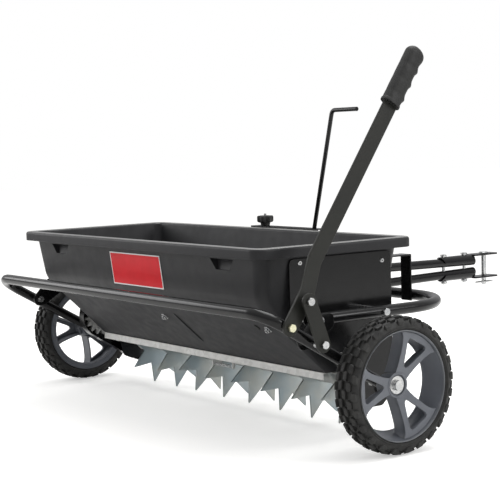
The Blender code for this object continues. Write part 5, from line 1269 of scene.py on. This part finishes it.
def make_floor():
    """A pale floor that stays white where it is lit and keeps the soft shadows."""
    material = bpy.data.materials.new("pale_floor")
    material.use_nodes = True
    tree = material.node_tree
    shader = tree.nodes["Principled BSDF"]
    feed(tree, shader, {"Base Color": FLOOR_COLOUR, "Roughness": 0.9, "Specular IOR Level": 0.1})
    glow = add_node(tree, "Emission", {"Color": FLOOR_GLOW})
    dark = add_node(tree, "Emission", {"Strength": 0.0})
    chosen = add_node(tree, "MixShader", {
        "Fac": white_rays(tree), 1: dark.outputs["Emission"], 2: glow.outputs["Emission"]})
    total = add_node(tree, "AddShader", {0: shader.outputs["BSDF"], 1: chosen.outputs["Shader"]})
    feed(tree, tree.nodes["Material Output"], {"Surface": total.outputs["Shader"]})
    mesh = bpy.data.meshes.new("floor")
    half = FLOOR_HALF_SIZE
    mesh.from_pydata([(x, y, 0) for x, y in rectangle((-half, -half), (half, half))], [], [(0, 1, 2, 3)])
    mesh.materials.append(material)
    floor = new_object("floor", mesh)


def make_world():
    """White for the camera, and for light a dome that dims towards the horizon."""
    world = bpy.data.worlds.new("studio")
    bpy.context.scene.world = world
    world.use_nodes = True
    tree = world.node_tree
    place = tree.nodes.new("ShaderNodeTexCoord").outputs["Generated"]
    height = add_node(tree, "SeparateXYZ", {"Vector": place}).outputs["Z"]
    dome = add_node(tree, "ValToRGB", {"Fac": height})
    ends = dome.color_ramp.elements
    ends[0].position, ends[0].color = 0.0, DOME_LOW
    ends[1].position, ends[1].color = DOME_RISE, DOME_HIGH
    shown = tree.nodes.new("ShaderNodeMix")
    shown.data_type = "RGBA"
    feed(tree, shown, {"Factor": white_rays(tree), "A": dome.outputs["Color"], "B": WHITE})
    feed(tree, tree.nodes["Background"], {"Color": shown.outputs["Result"], "Strength": 1.0})


def make_lamps():
    for name, place, target, size, power in LAMPS:
        light = bpy.data.lights.new(name, "AREA")
        light.shape = "RECTANGLE"
        light.size, light.size_y = size
        light.energy = power
        lamp = new_object(name, light)
        lamp.location = place
        lamp.rotation_euler = (Vector(target) - Vector(place)).to_track_quat("-Z", "Y").to_euler()


# Camera: it looks at the machine from behind on its right, and is turned, pitched and rolled by these angles
CAMERA_PLACE = from_axle(2.43323, -1.66568, 0.57871)
CAMERA_TURN = 0.94264
CAMERA_PITCH = 0.07981
CAMERA_ROLL = -0.03012
CAMERA_LENS = 99.542
SENSOR_WIDTH = 36.0


def make_camera():
    data = bpy.data.cameras.new("camera")
    data.sensor_width = SENSOR_WIDTH
    data.lens = CAMERA_LENS
    data.clip_end = 100.0
    ahead = cos(CAMERA_PITCH)
    forward = Vector((-sin(CAMERA_TURN) * ahead, cos(CAMERA_TURN) * ahead, -sin(CAMERA_PITCH)))
    level = Vector((cos(CAMERA_TURN), sin(CAMERA_TURN), 0.0))
    above = level.cross(forward)
    right = level * cos(CAMERA_ROLL) + above * sin(CAMERA_ROLL)
    up = above * cos(CAMERA_ROLL) - level * sin(CAMERA_ROLL)
    camera = new_object("camera", data)
    facing = Matrix((right, up, -forward)).transposed().to_4x4()
    camera.matrix_world = Matrix.Translation(CAMERA_PLACE) @ facing
    bpy.context.scene.camera = camera


# The whole scene

make_camera()
make_hopper()
make_hopper_fittings()
make_label()
make_main_frame()
make_lift_tube()
make_drawbar()
make_hitch_plates()
make_flow_rod()
make_softened()
make_fasteners()
for side_name, side_sign in SIDES:
    make_tyre(side_name, side_sign)
    make_rim(side_name, side_sign)
make_shaft()
make_spring()
make_grip()
make_knob()
make_pin()
make_clip()
make_floor()
make_world()
make_lamps()
bpy.context.scene.view_settings.view_transform = "Standard"

bpy.context.view_layer.update()
